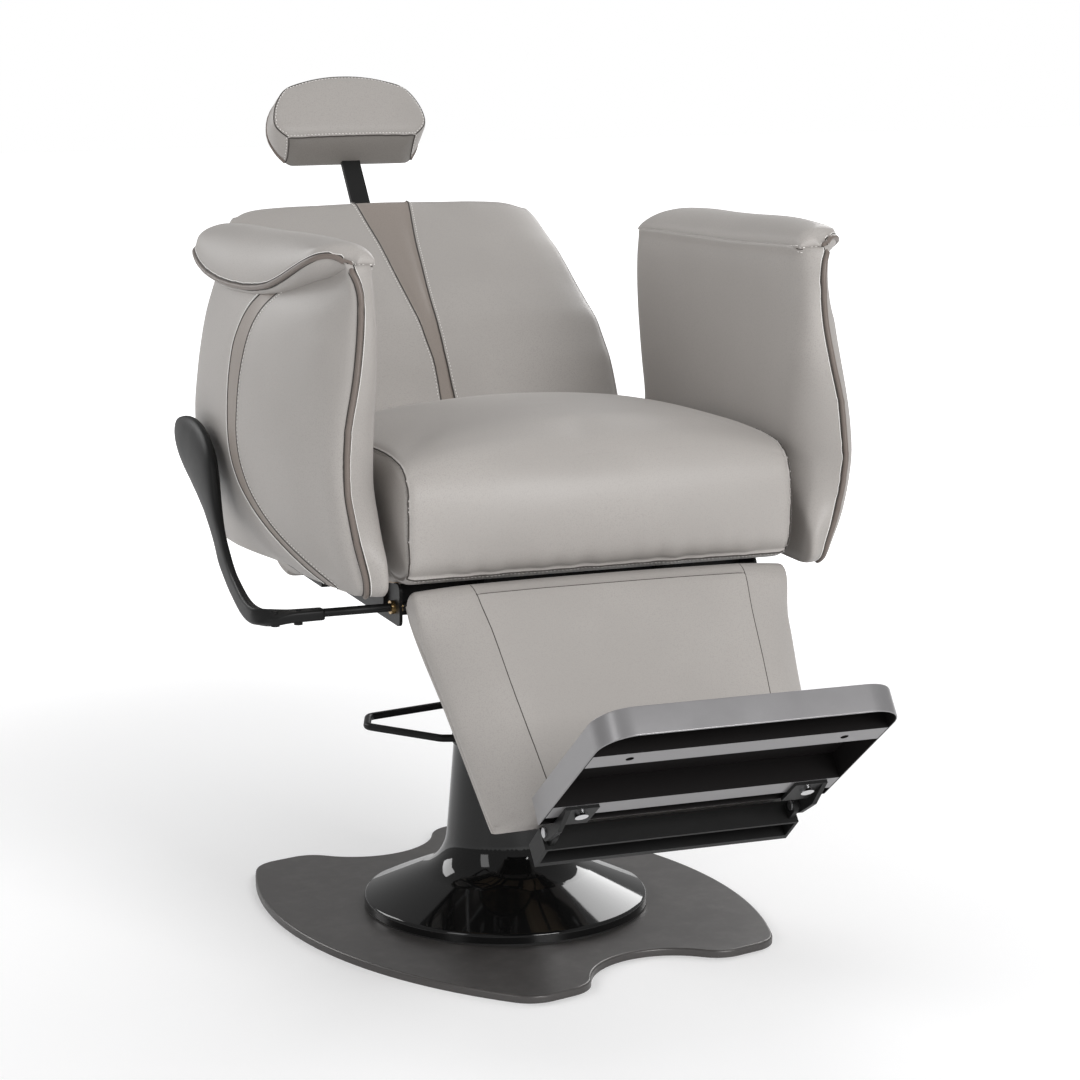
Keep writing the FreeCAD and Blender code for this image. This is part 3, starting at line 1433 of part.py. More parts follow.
def makeFootPan():
    outer = box("pan_outer", ("-pan_half_width", "pan_half_width"), ("-pan_end", "-pan_start"),
                ("-pan_under", "pan_top"))
    inner = box("pan_inner", ("-pan_half_width + pan_wall", "pan_half_width - pan_wall"),
                ("-pan_end + pan_wall", "-pan_start - pan_wall"), ("-pan_under - 1", "pan_top - pan_wall"))
    outerRound = rounded("pan_outer_round", outer, size("pan_corner"), freeCorner)
    innerRound = rounded("pan_inner_round", inner, size("pan_corner") - size("pan_wall"), freeCorner)
    node("footrest_pan", onFootrest(cut("pan", outerRound, innerRound)))

    bars = []
    for name, start in (("low", "low_bar_start"), ("high", "high_bar_start")):
        near = "-pan_start - %s" % start
        block = box("foot_bar_" + name, ("-pan_half_width + pan_wall", "pan_half_width - pan_wall"),
                    (near + " - foot_bar_wide", near), ("-pan_under", "pan_top - pan_wall"))
        hollow = box("foot_bar_hollow_" + name, ("-pan_half_width", "pan_half_width"),
                     (near + " - foot_bar_wide + foot_bar_wall", near + " - foot_bar_wall"),
                     ("-pan_under + foot_bar_wall", "pan_top"))
        tools = [hollow]
        if name == "high":
            tools += [post("bar_hole_" + side, "bar_hole_radius", "-pan_under - 1", "pan_top / 3",
                           x=sign + "bar_hole_half", y=near + " - foot_bar_wide / 2")
                      for side, sign in (("left", ""), ("right", "-"))]
        else:
            hole = footBolt("bar_bolt_hole", "foot_bolt_radius", "-pan_under - 1", "pan_top / 3")
            tools += [hole, mirrored("bar_bolt_hole_other", hole)]
        bars.append(cut("foot_bar_cut_" + name, block, *tools))
    node("footrest_bars", onFootrest(group("foot_bars", *bars)))

    reach = "-pan_start - low_bar_start - foot_bar_wide + 2"
    side = plate("foot_plate", "foot_plate_inner", "foot_lug_thick", [
        ("0", "foot_eye_radius"),
        ("-foot_eye_radius", "foot_eye_radius - 2"),
        ("-pan_start + 3", "-pan_under"),
        (reach, "-pan_under"),
        (reach, "-pan_under - foot_plate_thick"),
        ("-pan_start - 8", "-foot_eye_radius - 5"),
        ("0", "-foot_eye_radius"),
    ], eyes=[("0", "0", "foot_eye_radius")], bores=[("0", "0", "foot_pin_radius + shaft_clearance")])
    shelf = box("foot_plate_shelf", ("bar_hole_half - 8", "foot_plate_outer"),
                (reach, "-pan_start - 3"), ("-pan_under - foot_plate_thick", "-pan_under"))
    hole = footBolt("shelf_hole", "foot_bolt_radius", "-pan_under - foot_plate_thick", "-pan_under")
    welded = cut("foot_plate_welded", fuse("foot_plate_body", side, shelf), hole)
    node("footrest_hinge_plates", onFootrest(pair("foot_plates", welded)))

    shank = footBolt("foot_bolt_shank", "foot_bolt_radius", "-pan_under - foot_plate_thick",
                     "-pan_under + foot_bar_wall")
    head = footBolt("foot_bolt_cap", "foot_bolt_head", "-pan_under - foot_plate_thick - bolt_head_high",
                    "-pan_under - foot_plate_thick")
    node("footrest_bolts", onFootrest(pair("foot_bolts", fuse("foot_bolt", shank, head))))


def footBolt(name, radius, low, top):
    """Place of the left bolt through the low bar; the right one mirrors it."""
    return post(name, radius, low, top, x="bar_hole_half + 11",
                y="-pan_start - low_bar_start - foot_bar_wide / 2")


# Recline lever and gas spring.


def makeLever():
    node("lever_rod", rod("lever_shaft", "lever_rod_radius", "lever_leg_end - lever_rod_inside",
                          "lever_bracket_x + bush_long + 6", y="lever_y", z="lever_z"))
    bushes = []
    for name, middle in (("outer", "-rail_gap_half - rail_thick / 2"), ("inner", "lever_bracket_x")):
        ring = rod("bush_ring_" + name, "bush_radius", "(%s) - bush_long / 2" % middle,
                   "(%s) + bush_long / 2" % middle, y="lever_y", z="lever_z")
        hole = rod("bush_hole_" + name, "lever_rod_radius + shaft_clearance",
                   "(%s) - bush_long / 2" % middle, "(%s) + bush_long / 2" % middle,
                   y="lever_y", z="lever_z")
        bushes.append(cut("bush_" + name, ring, hole))
    node("lever_bushes", group("bushes", *bushes))
    y = size("lever_y")
    z = size("lever_z")
    side = size("lever_plane") - size("lever_plate_thick") / 2
    long = size("lever_long")
    rise = size("lever_rise")

    def at(out, up):
        return Vector(side, y + out * long, z + up * rise)

    # flat bar, then the egg-shaped grip; places as shares of the lever's length and rise
    outlineWire = loop([
        (at(-0.034, -0.044), at(-0.053, -0.015)),
        (at(-0.034, 0.015), None),
        (at(0.087, 0.020), at(0.295, 0.222)),
        (at(0.466, 0.576), at(0.542, 0.897)),
        (at(0.736, 1.000), None),
        (at(0.913, 0.995), at(1.076, 0.931)),
        (at(1.000, 0.734), at(0.871, 0.626)),
        (at(0.705, 0.532), at(0.562, 0.345)),
        (at(0.337, 0.039), at(0.281, -0.039)),
        (at(0.188, -0.064), None),
    ])
    blade = Part.Face(outlineWire).extrude(Vector(size("lever_plate_thick"), 0, 0))
    shoulder = size("lever_plane") + size("lever_plate_thick") / 2
    end = size("lever_leg_end")
    half = size("lever_leg_half")
    low = size("lever_leg_low")
    leg = Part.makeBox(end - shoulder + 1, 2 * half, 2 * low, Vector(shoulder - 1, y - half, z - low))
    inside = size("lever_rod_inside")
    bore = Part.makeCylinder(size("lever_rod_radius"), inside, Vector(end - inside, y, z), Vector(1, 0, 0))
    bolt = size("lever_bolt_radius")
    boltHoles = [Part.makeCylinder(bolt, 2 * low, Vector(x, y, z - low)) for x in leverBoltPlaces()]
    handle = blade.fuse(leg).removeSplitter().cut(bore).cut(Part.Compound(boltHoles))
    node("lever_handle", feature("lever_blade", handle))
    bolts = []
    for x in leverBoltPlaces():
        head = Part.makeCylinder(1.8 * bolt, size("bolt_head_high"),
                                 Vector(x, y, z - low - size("bolt_head_high")))
        shank = Part.makeCylinder(bolt, 2 * low, Vector(x, y, z - low))
        bolts.append(head.fuse(shank))
    node("lever_bolts", feature("lever_bolt_set", Part.Compound(bolts)))

    ring = rod("cam_ring", "cam_radius", "lever_bracket_x + bush_long / 2 + 1",
               "lever_bracket_x + bush_long / 2 + 9", y="lever_y", z="lever_z - 4")
    hole = rod("cam_hole", "lever_rod_radius", "lever_bracket_x + bush_long / 2 + 1",
               "lever_bracket_x + bush_long / 2 + 9", y="lever_y", z="lever_z")
    node("release_cam", cut("cam", ring, hole))


def leverBoltPlaces():
    end = size("lever_leg_end")
    shoulder = size("lever_plane") + size("lever_plate_thick") / 2
    return (shoulder + 14, end - 32)


def makeGasSpring():
    tube = shaft("spring_tube", "spring_radius", "spring_anchor_y + 8", "spring_end_y",
                 x="spring_x", z="spring_z")
    eye = rod("spring_front_eye", "spring_radius", "spring_x - 6", "spring_x + 6",
              y="spring_anchor_y", z="spring_z")
    pinHole = rod("spring_front_hole", "spring_pin_radius + shaft_clearance", "spring_x - 6", "spring_x + 6",
                  y="spring_anchor_y", z="spring_z")
    bore = shaft("spring_bore", "spring_rod_radius + shaft_clearance", "spring_rod_inside - 40",
                 "spring_end_y", x="spring_x", z="spring_z")
    node("recline_cylinder", cut("spring_cylinder", fuse("spring_cylinder_body", tube, eye), pinHole, bore))

    cheeks = []
    for name, low in (("left", "spring_x + 8"), ("right", "spring_x - 8 - spring_cheek_thick")):
        cheeks.append(box("spring_cheek_" + name, (low, low + " + spring_cheek_thick"),
                          ("front_member_y + 2", "spring_anchor_y + 1.2 * spring_pin_radius"),
                          ("spring_z - 2 * spring_pin_radius", "frame_low")))
    pin = rod("spring_pin", "spring_pin_radius", "spring_x - 14", "spring_x + 14",
              y="spring_anchor_y", z="spring_z")
    hanger = plate("lever_hanger", "lever_bracket_x - rail_thick / 2", "rail_thick", [
        ("lever_y - 1.7 * bush_radius", "lever_z - 1.7 * bush_radius"),
        ("front_member_y", "lever_z - 1.7 * bush_radius"),
        ("front_member_y", "lever_z + 1.7 * bush_radius"),
        ("lever_y - 1.7 * bush_radius", "lever_z + 1.7 * bush_radius"),
    ], bores=[("lever_y", "lever_z", "bush_radius")])
    node("control_brackets", group("hangers", fuse("spring_bracket", *cheeks, pin), hanger))

    stem = shaft("spring_stem", "spring_rod_radius", "spring_rod_inside",
                 "back_pivot_y - crank_pin_radius - spring_eye_slack - 2", x="spring_x", z="spring_z")
    ring = rod("spring_rear_eye", "spring_eye_radius", "spring_x - spring_eye_wide / 2",
               "spring_x + spring_eye_wide / 2", y="back_pivot_y", z="spring_z")
    hole = rod("spring_rear_hole", "crank_pin_radius + spring_eye_slack", "spring_x - spring_eye_wide / 2",
               "spring_x + spring_eye_wide / 2", y="back_pivot_y", z="spring_z")
    node("recline_rod", fuse("spring_rod", stem, cut("spring_rear_ring", ring, hole)))


makeBasePlate()
makeBaseBolts()
makePump()
makePumpHead()
makePumpCover()
makeFootPedal()
makePiston()
makeSwivel()
makeSeatFrame()
makeSeatCushion()
makeArms()
makeArmBrackets()
makeReclineEars()
makeBackHingeArms()
makeBackrest()
makeHeadrest()
makeLegRest()
makeFootrest()
makeLever()
makeGasSpring()
doc.recompute()

faults = []
for item in doc.Objects:
    if "Invalid" in item.State or "Error" in item.State:
        faults.append("%s: %s" % (item.Name, item.State))
for item in nodes:
    if item.Shape.isNull() or not item.Shape.isValid():
        faults.append("%s has no valid shape" % item.Label)
if faults:
    raise SystemExit("\n".join(faults))

os.makedirs("parts", exist_ok=True)
for item in nodes:
    item.Shape.exportStep("parts/%s.step" % item.Label)
print(len(nodes), "nodes written")
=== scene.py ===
import math

import bmesh
import bpy
import numpy as np
from mathutils import Euler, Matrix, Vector
from mathutils.bvhtree import BVHTree


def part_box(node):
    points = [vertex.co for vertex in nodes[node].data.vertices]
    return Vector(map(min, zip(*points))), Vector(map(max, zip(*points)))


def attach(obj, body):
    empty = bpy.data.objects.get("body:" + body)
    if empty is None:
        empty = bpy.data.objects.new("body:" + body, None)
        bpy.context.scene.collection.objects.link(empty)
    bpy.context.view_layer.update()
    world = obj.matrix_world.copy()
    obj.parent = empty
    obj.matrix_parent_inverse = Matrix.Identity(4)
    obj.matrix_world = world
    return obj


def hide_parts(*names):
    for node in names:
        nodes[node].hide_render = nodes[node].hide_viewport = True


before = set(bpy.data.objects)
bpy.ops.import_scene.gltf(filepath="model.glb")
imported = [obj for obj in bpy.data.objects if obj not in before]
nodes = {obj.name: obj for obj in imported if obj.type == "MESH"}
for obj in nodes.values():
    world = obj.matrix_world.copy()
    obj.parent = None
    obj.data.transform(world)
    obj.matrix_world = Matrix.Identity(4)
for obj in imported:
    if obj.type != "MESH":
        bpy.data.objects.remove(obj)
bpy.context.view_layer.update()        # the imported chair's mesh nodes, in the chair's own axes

scene = bpy.context.scene

# ---- small tools for objects and nodes


def newObject(name, data):
    item = bpy.data.objects.new(name, data)
    scene.collection.objects.link(item)
    return item


def feed(tree, sockets, values):
    # links each socket that is given another socket, and sets the others
    for label, value in values.items():
        if isinstance(value, bpy.types.NodeSocket):
            tree.links.new(value, sockets[label])
        else:
            sockets[label].default_value = value


def addNode(tree, kind, inputs=None, **settings):
    item = tree.nodes.new(kind)
    for key, value in settings.items():
        setattr(item, key, value)
    feed(tree, item.inputs, inputs or {})
    return item


def newGroup(name, kind, inputs, outputs):
    # a node group: its tree, the sockets that enter it and the sockets that leave it
    tree = bpy.data.node_groups.new(name, kind)
    for label, value in inputs.items():
        sort = value if isinstance(value, str) else "NodeSocketInt" if isinstance(value, int) else "NodeSocketFloat"
        socket = tree.interface.new_socket(label, in_out="INPUT", socket_type=sort)
        if sort != value:
            socket.default_value = value
    for label in outputs:
        sort = "NodeSocketGeometry" if label == "Geometry" else "NodeSocketFloat"
        tree.interface.new_socket(label, in_out="OUTPUT", socket_type=sort)
    return tree, tree.nodes.new("NodeGroupInput").outputs, tree.nodes.new("NodeGroupOutput").inputs


def mathNode(tree, operation, a, b, clamp=False):
    return addNode(tree, "ShaderNodeMath", {0: a, 1: b}, operation=operation, use_clamp=clamp).outputs[0]


def times(tree, a, b):
    return mathNode(tree, "MULTIPLY", a, b)


def ramp(tree, source, low, high, fromValue=0.0, toValue=1.0):
    return addNode(tree, "ShaderNodeMapRange", {"Value": source, "From Min": low, "From Max": high, "To Min": fromValue,
                                                "To Max": toValue}, interpolation_type="SMOOTHSTEP").outputs["Result"]


def noise(tree, place, scale, detail, roughness, distortion=0.0):
    return addNode(tree, "ShaderNodeTexNoise", {"Vector": place, "Scale": scale, "Detail": detail,
                                                "Roughness": roughness, "Distortion": distortion}).outputs["Fac"]


def ownPlace(tree):
    # the piece's own coordinates
    return tree.nodes.new("ShaderNodeTexCoord").outputs["Object"]


def mixed(tree, mask, first, second):
    return addNode(tree, "ShaderNodeMix", {"Factor": mask, 6: first, 7: second}, data_type="RGBA").outputs[2]


def newFinish(name):
    finish = bpy.data.materials.new(name)
    finish.use_nodes = True
    return finish, finish.node_tree, finish.node_tree.nodes["Principled BSDF"].inputs


# ---- camera, floor and lights

studio = {
    "cameraPlace": (-1.3724, -3.7078, 1.2935), "cameraTurn": (78.797, 0.0, -20.994), "lens": 100.9,
    "floorHalf": 15.0, "floorColour": (0.87, 0.87, 0.875, 1), "floorRoughness": 0.6, "floorShine": 0.2,
    "nearGlow": 0.16,        # light that the floor itself gives off under the chair
    "farGlow": 1.05,         # and from here on, where it meets the white background
    "glowFrom": 1.0, "glowTo": 3.4,        # metres from the middle
    "bounceGlow": 0.35,      # how much of it lights the chair
    "sky": 0.36, "background": 1.0,        # the sky's light, and how bright the camera sees it
    # name, place, aimed at, width, height, watts
    "lamps": [
        ("keyLight", (1.0, -4.2, 2.3), (0, 0, 0.5), 1.5, 1.7, 128),
        ("fillLight", (-3.3, -1.9, 1.9), (0, 0, 0.6), 1.0, 2.2, 22),
        ("rimLight", (2.5, 2.4, 2.3), (0, 0, 0.6), 1.2, 2.2, 46),
        ("backLight", (-2.2, 2.6, 2.0), (0, 0, 0.6), 1.2, 1.8, 44),
        ("topLight", (0, 0.2, 3.5), (0, 0, 0), 2.0, 2.0, 14),
    ],
}


def seenOrLit(tree, toChair, toCamera):
    # one value for the camera's own rays and another for the rays that light the chair
    rays = tree.nodes.new("ShaderNodeLightPath").outputs["Is Camera Ray"]
    return addNode(tree, "ShaderNodeMapRange", {"Value": rays, "To Min": toChair, "To Max": toCamera}).outputs["Result"]


def makeStudio():
    p = studio
    data = bpy.data.cameras.new("photoCamera")
    data.lens, data.sensor_width, data.clip_end = p["lens"], 36, 60
    camera = newObject("photoCamera", data)
    camera.location = p["cameraPlace"]
    camera.rotation_euler = Euler([math.radians(a) for a in p["cameraTurn"]])
    scene.camera = camera

    half = p["floorHalf"]
    mesh = bpy.data.meshes.new("floor")
    mesh.from_pydata([(-half, -half, 0), (half, -half, 0), (half, half, 0), (-half, half, 0)], [], [(0, 1, 2, 3)])
    paint, tree, sockets = newFinish("floorPaint")
    away = addNode(tree, "ShaderNodeVectorMath", {0: ownPlace(tree)}, operation="LENGTH").outputs["Value"]
    feed(tree, sockets, {
        "Base Color": p["floorColour"], "Roughness": p["floorRoughness"], "Specular IOR Level": p["floorShine"],
        "Emission Color": ramp(tree, away, p["glowFrom"], p["glowTo"], p["nearGlow"], p["farGlow"]),
        "Emission Strength": seenOrLit(tree, p["bounceGlow"], 1.0)})
    mesh.materials.append(paint)
    newObject("floor", mesh)

    # a white background behind the chair, and a softer sky for light and reflections
    scene.world = bpy.data.worlds.new("softSky")
    scene.world.use_nodes = True
    tree = scene.world.node_tree
    feed(tree, tree.nodes["Background"].inputs,
         {"Color": (1, 1, 1, 1), "Strength": seenOrLit(tree, p["sky"], p["background"])})
    scene.view_settings.view_transform = "Standard"
    for name, place, aim, wide, high, power in p["lamps"]:
        light = bpy.data.lights.new(name, "AREA")
        light.shape, light.size, light.size_y, light.energy = "RECTANGLE", wide, high, power
        lamp = newObject(name, light)
        lamp.location = place
        lamp.rotation_euler = (Vector(aim) - Vector(place)).to_track_quat("-Z", "Y").to_euler()


makeStudio()
print("studio ready")

# ---- node groups that several finishes share


# noises: scale, detail, roughness and distortion; ramps: from and to
grainLook = {
    "fine": (420.0, 3.0, 0.6), "fineHeight": 0.25, "creases": (26.0, 4.0, 0.55, 0.6), "clouds": (5.5, 3.0, 0.5),
    "soften": 0.7, "scatter": 0.9, "spots": (0.32, 0.68), "pores": (0.35, 0.8),
}
scuffLook = {
    "clouds": (9.0, 5.0, 0.62), "lines": (6.0, 0.7, 1.4), "peel": (520.0, 2.0, 0.5),
    "lineRamp": (0.56, 0.72), "patchRamp": (0.42, 0.66), "cloudRamp": (0.3, 0.7),
}
dustLook = {"grains": (38.0, 8.0, 0.75), "upward": (0.35, 0.95), "grainRamp": (0.4, 0.75)}


def makeLeatherGrain():
    # fine pebbles, pores and soft creases of smooth upholstery leather
    tree, enter, leave = newGroup("leatherGrain", "ShaderNodeTree", {
        "Pebble Size": 1.3, "Pebble Height": 0.5, "Crease Height": 0.5}, ("Height", "Spots", "Pores"))
    place, look = ownPlace(tree), grainLook
    pebbles = addNode(tree, "ShaderNodeTexVoronoi", {
        "Vector": place, "Scale": mathNode(tree, "DIVIDE", 1000.0, enter["Pebble Size"]),
        "Smoothness": look["soften"], "Randomness": look["scatter"]}, feature="SMOOTH_F1").outputs["Distance"]
    bumps = times(tree, mathNode(tree, "SUBTRACT", 1.0, pebbles), enter["Pebble Height"])
    fine = times(tree, noise(tree, place, *look["fine"]), look["fineHeight"])
    creases = times(tree, noise(tree, place, *look["creases"]), enter["Crease Height"])
    feed(tree, leave, {
        "Height": mathNode(tree, "ADD", mathNode(tree, "ADD", bumps, fine), creases),
        "Spots": ramp(tree, noise(tree, place, *look["clouds"]), *look["spots"]),
        "Pores": ramp(tree, pebbles, *look["pores"])})
    return tree


def makeFineScuffs():
    # thin rubbed lines and handling marks on painted and bare metal
    tree, enter, leave = newGroup("fineScuffs", "ShaderNodeTree", {"Amount": 0.5, "Size": 60.0},
                                  ("Scuffs", "Cloud", "Height"))
    place, look = ownPlace(tree), scuffLook
    broad = noise(tree, place, *look["clouds"])
    lines = noise(tree, place, enter["Size"], *look["lines"])
    patchy = times(tree, ramp(tree, lines, *look["lineRamp"]), ramp(tree, broad, *look["patchRamp"]))
    feed(tree, leave, {"Scuffs": times(tree, patchy, enter["Amount"]), "Cloud": ramp(tree, broad, *look["cloudRamp"]),
                       "Height": noise(tree, place, *look["peel"])})
    return tree


def makeFloorDust():
    # pale dust that settles on faces that look up, more of it near the floor
    tree, enter, leave = newGroup("floorDust", "ShaderNodeTree", {"Reach": 0.3, "Amount": 0.3}, ("Dust",))
    place = ownPlace(tree)
    normal = tree.nodes.new("ShaderNodeNewGeometry").outputs["Normal"]
    height, facingUp = [addNode(tree, "ShaderNodeSeparateXYZ", {0: source}).outputs["Z"] for source in (place, normal)]
    near = mathNode(tree, "SUBTRACT", 1.0, mathNode(tree, "DIVIDE", height, enter["Reach"]), True)
    settled = times(tree, near, ramp(tree, facingUp, *dustLook["upward"]))
    grains = ramp(tree, noise(tree, place, *dustLook["grains"]), *dustLook["grainRamp"])
    feed(tree, leave, {"Dust": times(tree, times(tree, settled, grains), enter["Amount"])})
    return tree


leatherGrain = makeLeatherGrain()
fineScuffs = makeFineScuffs()
floorDust = makeFloorDust()

# ---- finishes


def groupNode(tree, group, values):
    item = tree.nodes.new("ShaderNodeGroup")
    item.node_tree = group
    feed(tree, item.inputs, values)
    return item.outputs


def bumped(tree, height, strength, distance):
    return addNode(tree, "ShaderNodeBump", {"Height": height, "Strength": strength,
                                            "Distance": distance}).outputs["Normal"]


def shade(colour, factor):
    return tuple(min(1.0, c * factor) for c in colour) + (1,)


leatherLook = {
    "pebbleHeight": 0.55, "creaseHeight": 0.5, "bump": (0.12, 0.0006), "roughBelow": 0.04, "roughAbove": 0.05,
    "dark": 0.955, "light": 1.03, "pore": 0.9,         # shades of the colour
    "surface": {"Specular IOR Level": 0.38, "Coat Weight": 0.03, "Coat Roughness": 0.34, "Sheen Weight": 0.06,
                "Sheen Roughness": 0.5},
}
metalLook = {
    "dark": 0.97, "light": 1.04, "scuffLight": 1.5, "scuffAdd": 0.02, "scuffRough": 0.3, "smoother": 0.94,
    "rougher": 1.06, "bump": 0.0004, "dustReach": 0.35, "dustColour": (0.36, 0.35, 0.33, 1),
}


def leather(name, colour, rough=0.49, pebble=1.25):
    finish, tree, sockets = newFinish(name)
    look = leatherLook
    grain = groupNode(tree, leatherGrain, {"Pebble Size": pebble, "Pebble Height": look["pebbleHeight"],
                                           "Crease Height": look["creaseHeight"]})
    base = mixed(tree, grain["Spots"], shade(colour, look["dark"]), shade(colour, look["light"]))
    feed(tree, sockets, {
        "Base Color": mixed(tree, grain["Pores"], base, shade(colour, look["pore"])),
        "Roughness": ramp(tree, grain["Spots"], 0.0, 1.0, rough - look["roughBelow"], rough + look["roughAbove"]),
        "Normal": bumped(tree, grain["Height"], *look["bump"]), **look["surface"]})
    return finish


def paintedMetal(name, colour, rough, worn, dust=0.0, metallic=0.0, peel=0.04, scuffSize=60.0, shine=0.5):
    finish, tree, sockets = newFinish(name)
    look = metalLook
    marks = groupNode(tree, fineScuffs, {"Amount": worn, "Size": scuffSize})
    base = mixed(tree, marks["Cloud"], shade(colour, look["dark"]), shade(colour, look["light"]))
    scuffed = shade([c * look["scuffLight"] + look["scuffAdd"] for c in colour], 1.0)
    base = mixed(tree, marks["Scuffs"], base, scuffed)
    if dust:
        film = groupNode(tree, floorDust, {"Reach": look["dustReach"], "Amount": dust})
        base = mixed(tree, film["Dust"], base, look["dustColour"])
    clouded = ramp(tree, marks["Cloud"], 0, 1, rough * look["smoother"], rough * look["rougher"])
    feed(tree, sockets, {
        "Base Color": base, "Metallic": metallic, "Specular IOR Level": shine,
        "Roughness": mathNode(tree, "ADD", clouded, times(tree, marks["Scuffs"], look["scuffRough"]), True),
        "Normal": bumped(tree, marks["Height"], peel, look["bump"])})
    return finish


def plywoodFinish(name):
    finish, tree, sockets = newFinish(name)
    stretched = addNode(tree, "ShaderNodeMapping", {"Vector": ownPlace(tree), "Scale": (60, 4, 60)}).outputs["Vector"]
    veneer = ramp(tree, noise(tree, stretched, 1.6, 8.0, 0.65, 0.8), 0.3, 0.7)
    feed(tree, sockets, {"Base Color": mixed(tree, veneer, (0.46, 0.31, 0.17, 1), (0.68, 0.51, 0.33, 1)),
                         "Roughness": 0.62, "Normal": bumped(tree, veneer, 0.15, 0.0006)})
    return finish


def clothFinish(name, colour):
    finish, tree, sockets = newFinish(name)
    weave = addNode(tree, "ShaderNodeTexVoronoi", {"Vector": ownPlace(tree), "Scale": 420.0}).outputs["Distance"]
    feed(tree, sockets, {"Base Color": mixed(tree, weave, shade(colour, 1.3), shade(colour, 0.6)),
                         "Normal": bumped(tree, weave, 0.3, 0.0004), "Roughness": 0.9, "Specular IOR Level": 0.15})
    return finish


def threadFinish(name, colour):
    finish, tree, sockets = newFinish(name)
    twist = addNode(tree, "ShaderNodeTexWave", {"Vector": ownPlace(tree), "Scale": 900.0, "Distortion": 1.5})
    feed(tree, sockets, {"Base Color": mixed(tree, twist.outputs["Fac"], shade(colour, 0.82), shade(colour, 1.0)),
                         "Roughness": 0.6, "Sheen Weight": 0.2})
    return finish


paleLeather = leather("pale_grey_leather", (0.385, 0.362, 0.343))
taupeLeather = leather("taupe_leather", (0.262, 0.226, 0.200), rough=0.46)
# the pale leather darkened: painted shade for the headrest's underside
underShadeLeather = leather("deep_grey_leather", (0.185, 0.172, 0.158), rough=0.46)
pipingLeather = leather("piping_leather", (0.165, 0.136, 0.119), rough=0.42, pebble=0.9)
seamShadow = leather("seam_shadow", (0.055, 0.048, 0.043), rough=0.7)
# pale thread for the stitches; along the arm piping the same finish paints a thin highlight line
paleThreadAndHighlight = threadFinish("pale_thread", (0.90, 0.88, 0.85))
greyThread = threadFinish("grey_thread", (0.46, 0.44, 0.42))
liningCloth = clothFinish("black_lining_cloth", (0.020, 0.020, 0.021))
# the record's own slots, and for metal and plastic: colour, roughness, wear
finishes = {
    "upholstery": paleLeather,
    "gloss_cover": paintedMetal("gloss_black_cover", (0.006, 0.006, 0.006), 0.06, 0.04, peel=0.01, shine=0.38),
    "base_paint": paintedMetal("gunmetal_base", (0.085, 0.080, 0.078), 0.36, 0.10,
                               dust=0.10, metallic=0.4, peel=0.05),
    # near-black painted shade for the footrest tray's hollow and the rails' sides
    "hollow_paint": paintedMetal("matt_black_hollow", (0.010, 0.009, 0.009), 0.6, 0.0, peel=0.05, shine=0.08),
    "footrest_paint": paintedMetal("gunmetal_footrest", (0.26, 0.255, 0.26), 0.33, 0.12, metallic=0.5, peel=0.05),
    "black_steel": paintedMetal("black_powder_steel", (0.011, 0.011, 0.011), 0.42, 0.1, peel=0.09, shine=0.16),
    "chrome_parts": paintedMetal("chrome", (0.72, 0.72, 0.73), 0.08, 0.1, metallic=1.0, peel=0.01),
    "bright_steel": paintedMetal("brushed_steel", (0.50, 0.50, 0.51), 0.3, 0.3,
                                 metallic=1.0, peel=0.05, scuffSize=140.0),
    "plywood": plywoodFinish("birch_plywood"),
    "seal_rubber": paintedMetal("black_rubber", (0.02, 0.02, 0.02), 0.62, 0.25, dust=0.3, peel=0.12),
    "black_plastic": paintedMetal("black_plastic", (0.020, 0.020, 0.021), 0.42, 0.2, peel=0.22),
    "bronze": paintedMetal("bronze_bush", (0.46, 0.31, 0.14), 0.34, 0.3, metallic=1.0, peel=0.05),
}
# the boards' edges carry the upholstery that is turned round them
dressed = {"back_board": paleLeather, "leg_rest_board": paleLeather, "lever_bolts": finishes["black_steel"]}


def finishCadNodes():
    for name, item in nodes.items():
        given = item.data.materials[0].name.split(".")[0] if item.data.materials else ""
        repaint(item, dressed.get(name) or finishes.get(given, finishes["black_steel"]))


def repaint(item, *materials):
    item.data.materials.clear()
    for material in materials:
        item.data.materials.append(material)


finishCadNodes()
print("finishes ready")

# ---- shapes that the soft pieces are made from


def eased(rows):
    # a table read smoothly: the first column is the place, the rest follow it without overshoot
    table = np.array(rows, float)
    table = table[np.argsort(table[:, 0])]
    x, y = table[:, 0], table[:, 1:]
    step = np.diff(x)[:, None]
    slope = np.diff(y, axis=0) / step
    tangent = np.zeros_like(y)
    tangent[0], tangent[-1] = slope[0], slope[-1]
    if len(x) > 2:
        before, after = slope[:-1], slope[1:]
        same = before * after > 0
        first, second = 2 * step[1:] + step[:-1], step[1:] + 2 * step[:-1]
        blend = first / np.where(same, before, 1) + second / np.where(same, after, 1)
        tangent[1:-1] = np.where(same, (first + second) / np.where(same, blend, 1), 0)

    def at(place):
        place = np.clip(np.atleast_1d(np.asarray(place, float)), x[0], x[-1])
        i = np.clip(np.searchsorted(x, place) - 1, 0, len(x) - 2)
        h = (x[i + 1] - x[i])[:, None]
        t = (place - x[i])[:, None] / h
        value = ((2 * t ** 3 - 3 * t ** 2 + 1) * y[i] + (t ** 3 - 2 * t ** 2 + t) * h * tangent[i]
                 + (3 * t ** 2 - 2 * t ** 3) * y[i + 1] + (t ** 3 - t ** 2) * h * tangent[i + 1])
        return value if value.shape[1] > 1 else value[:, 0]
    return at


def fade(value, over):
    # from nought to one over a length
    return np.clip(value / over, 0, 1)


def runLengths(points):
    return np.concatenate([[0], np.cumsum(np.linalg.norm(np.diff(points, axis=0), axis=1))])


def smoothRun(points):
    # a smooth line through points, read from 0 to 1
    points = np.array(points, float)
    run = runLengths(points)
    return eased(np.column_stack([run / run[-1], points]))


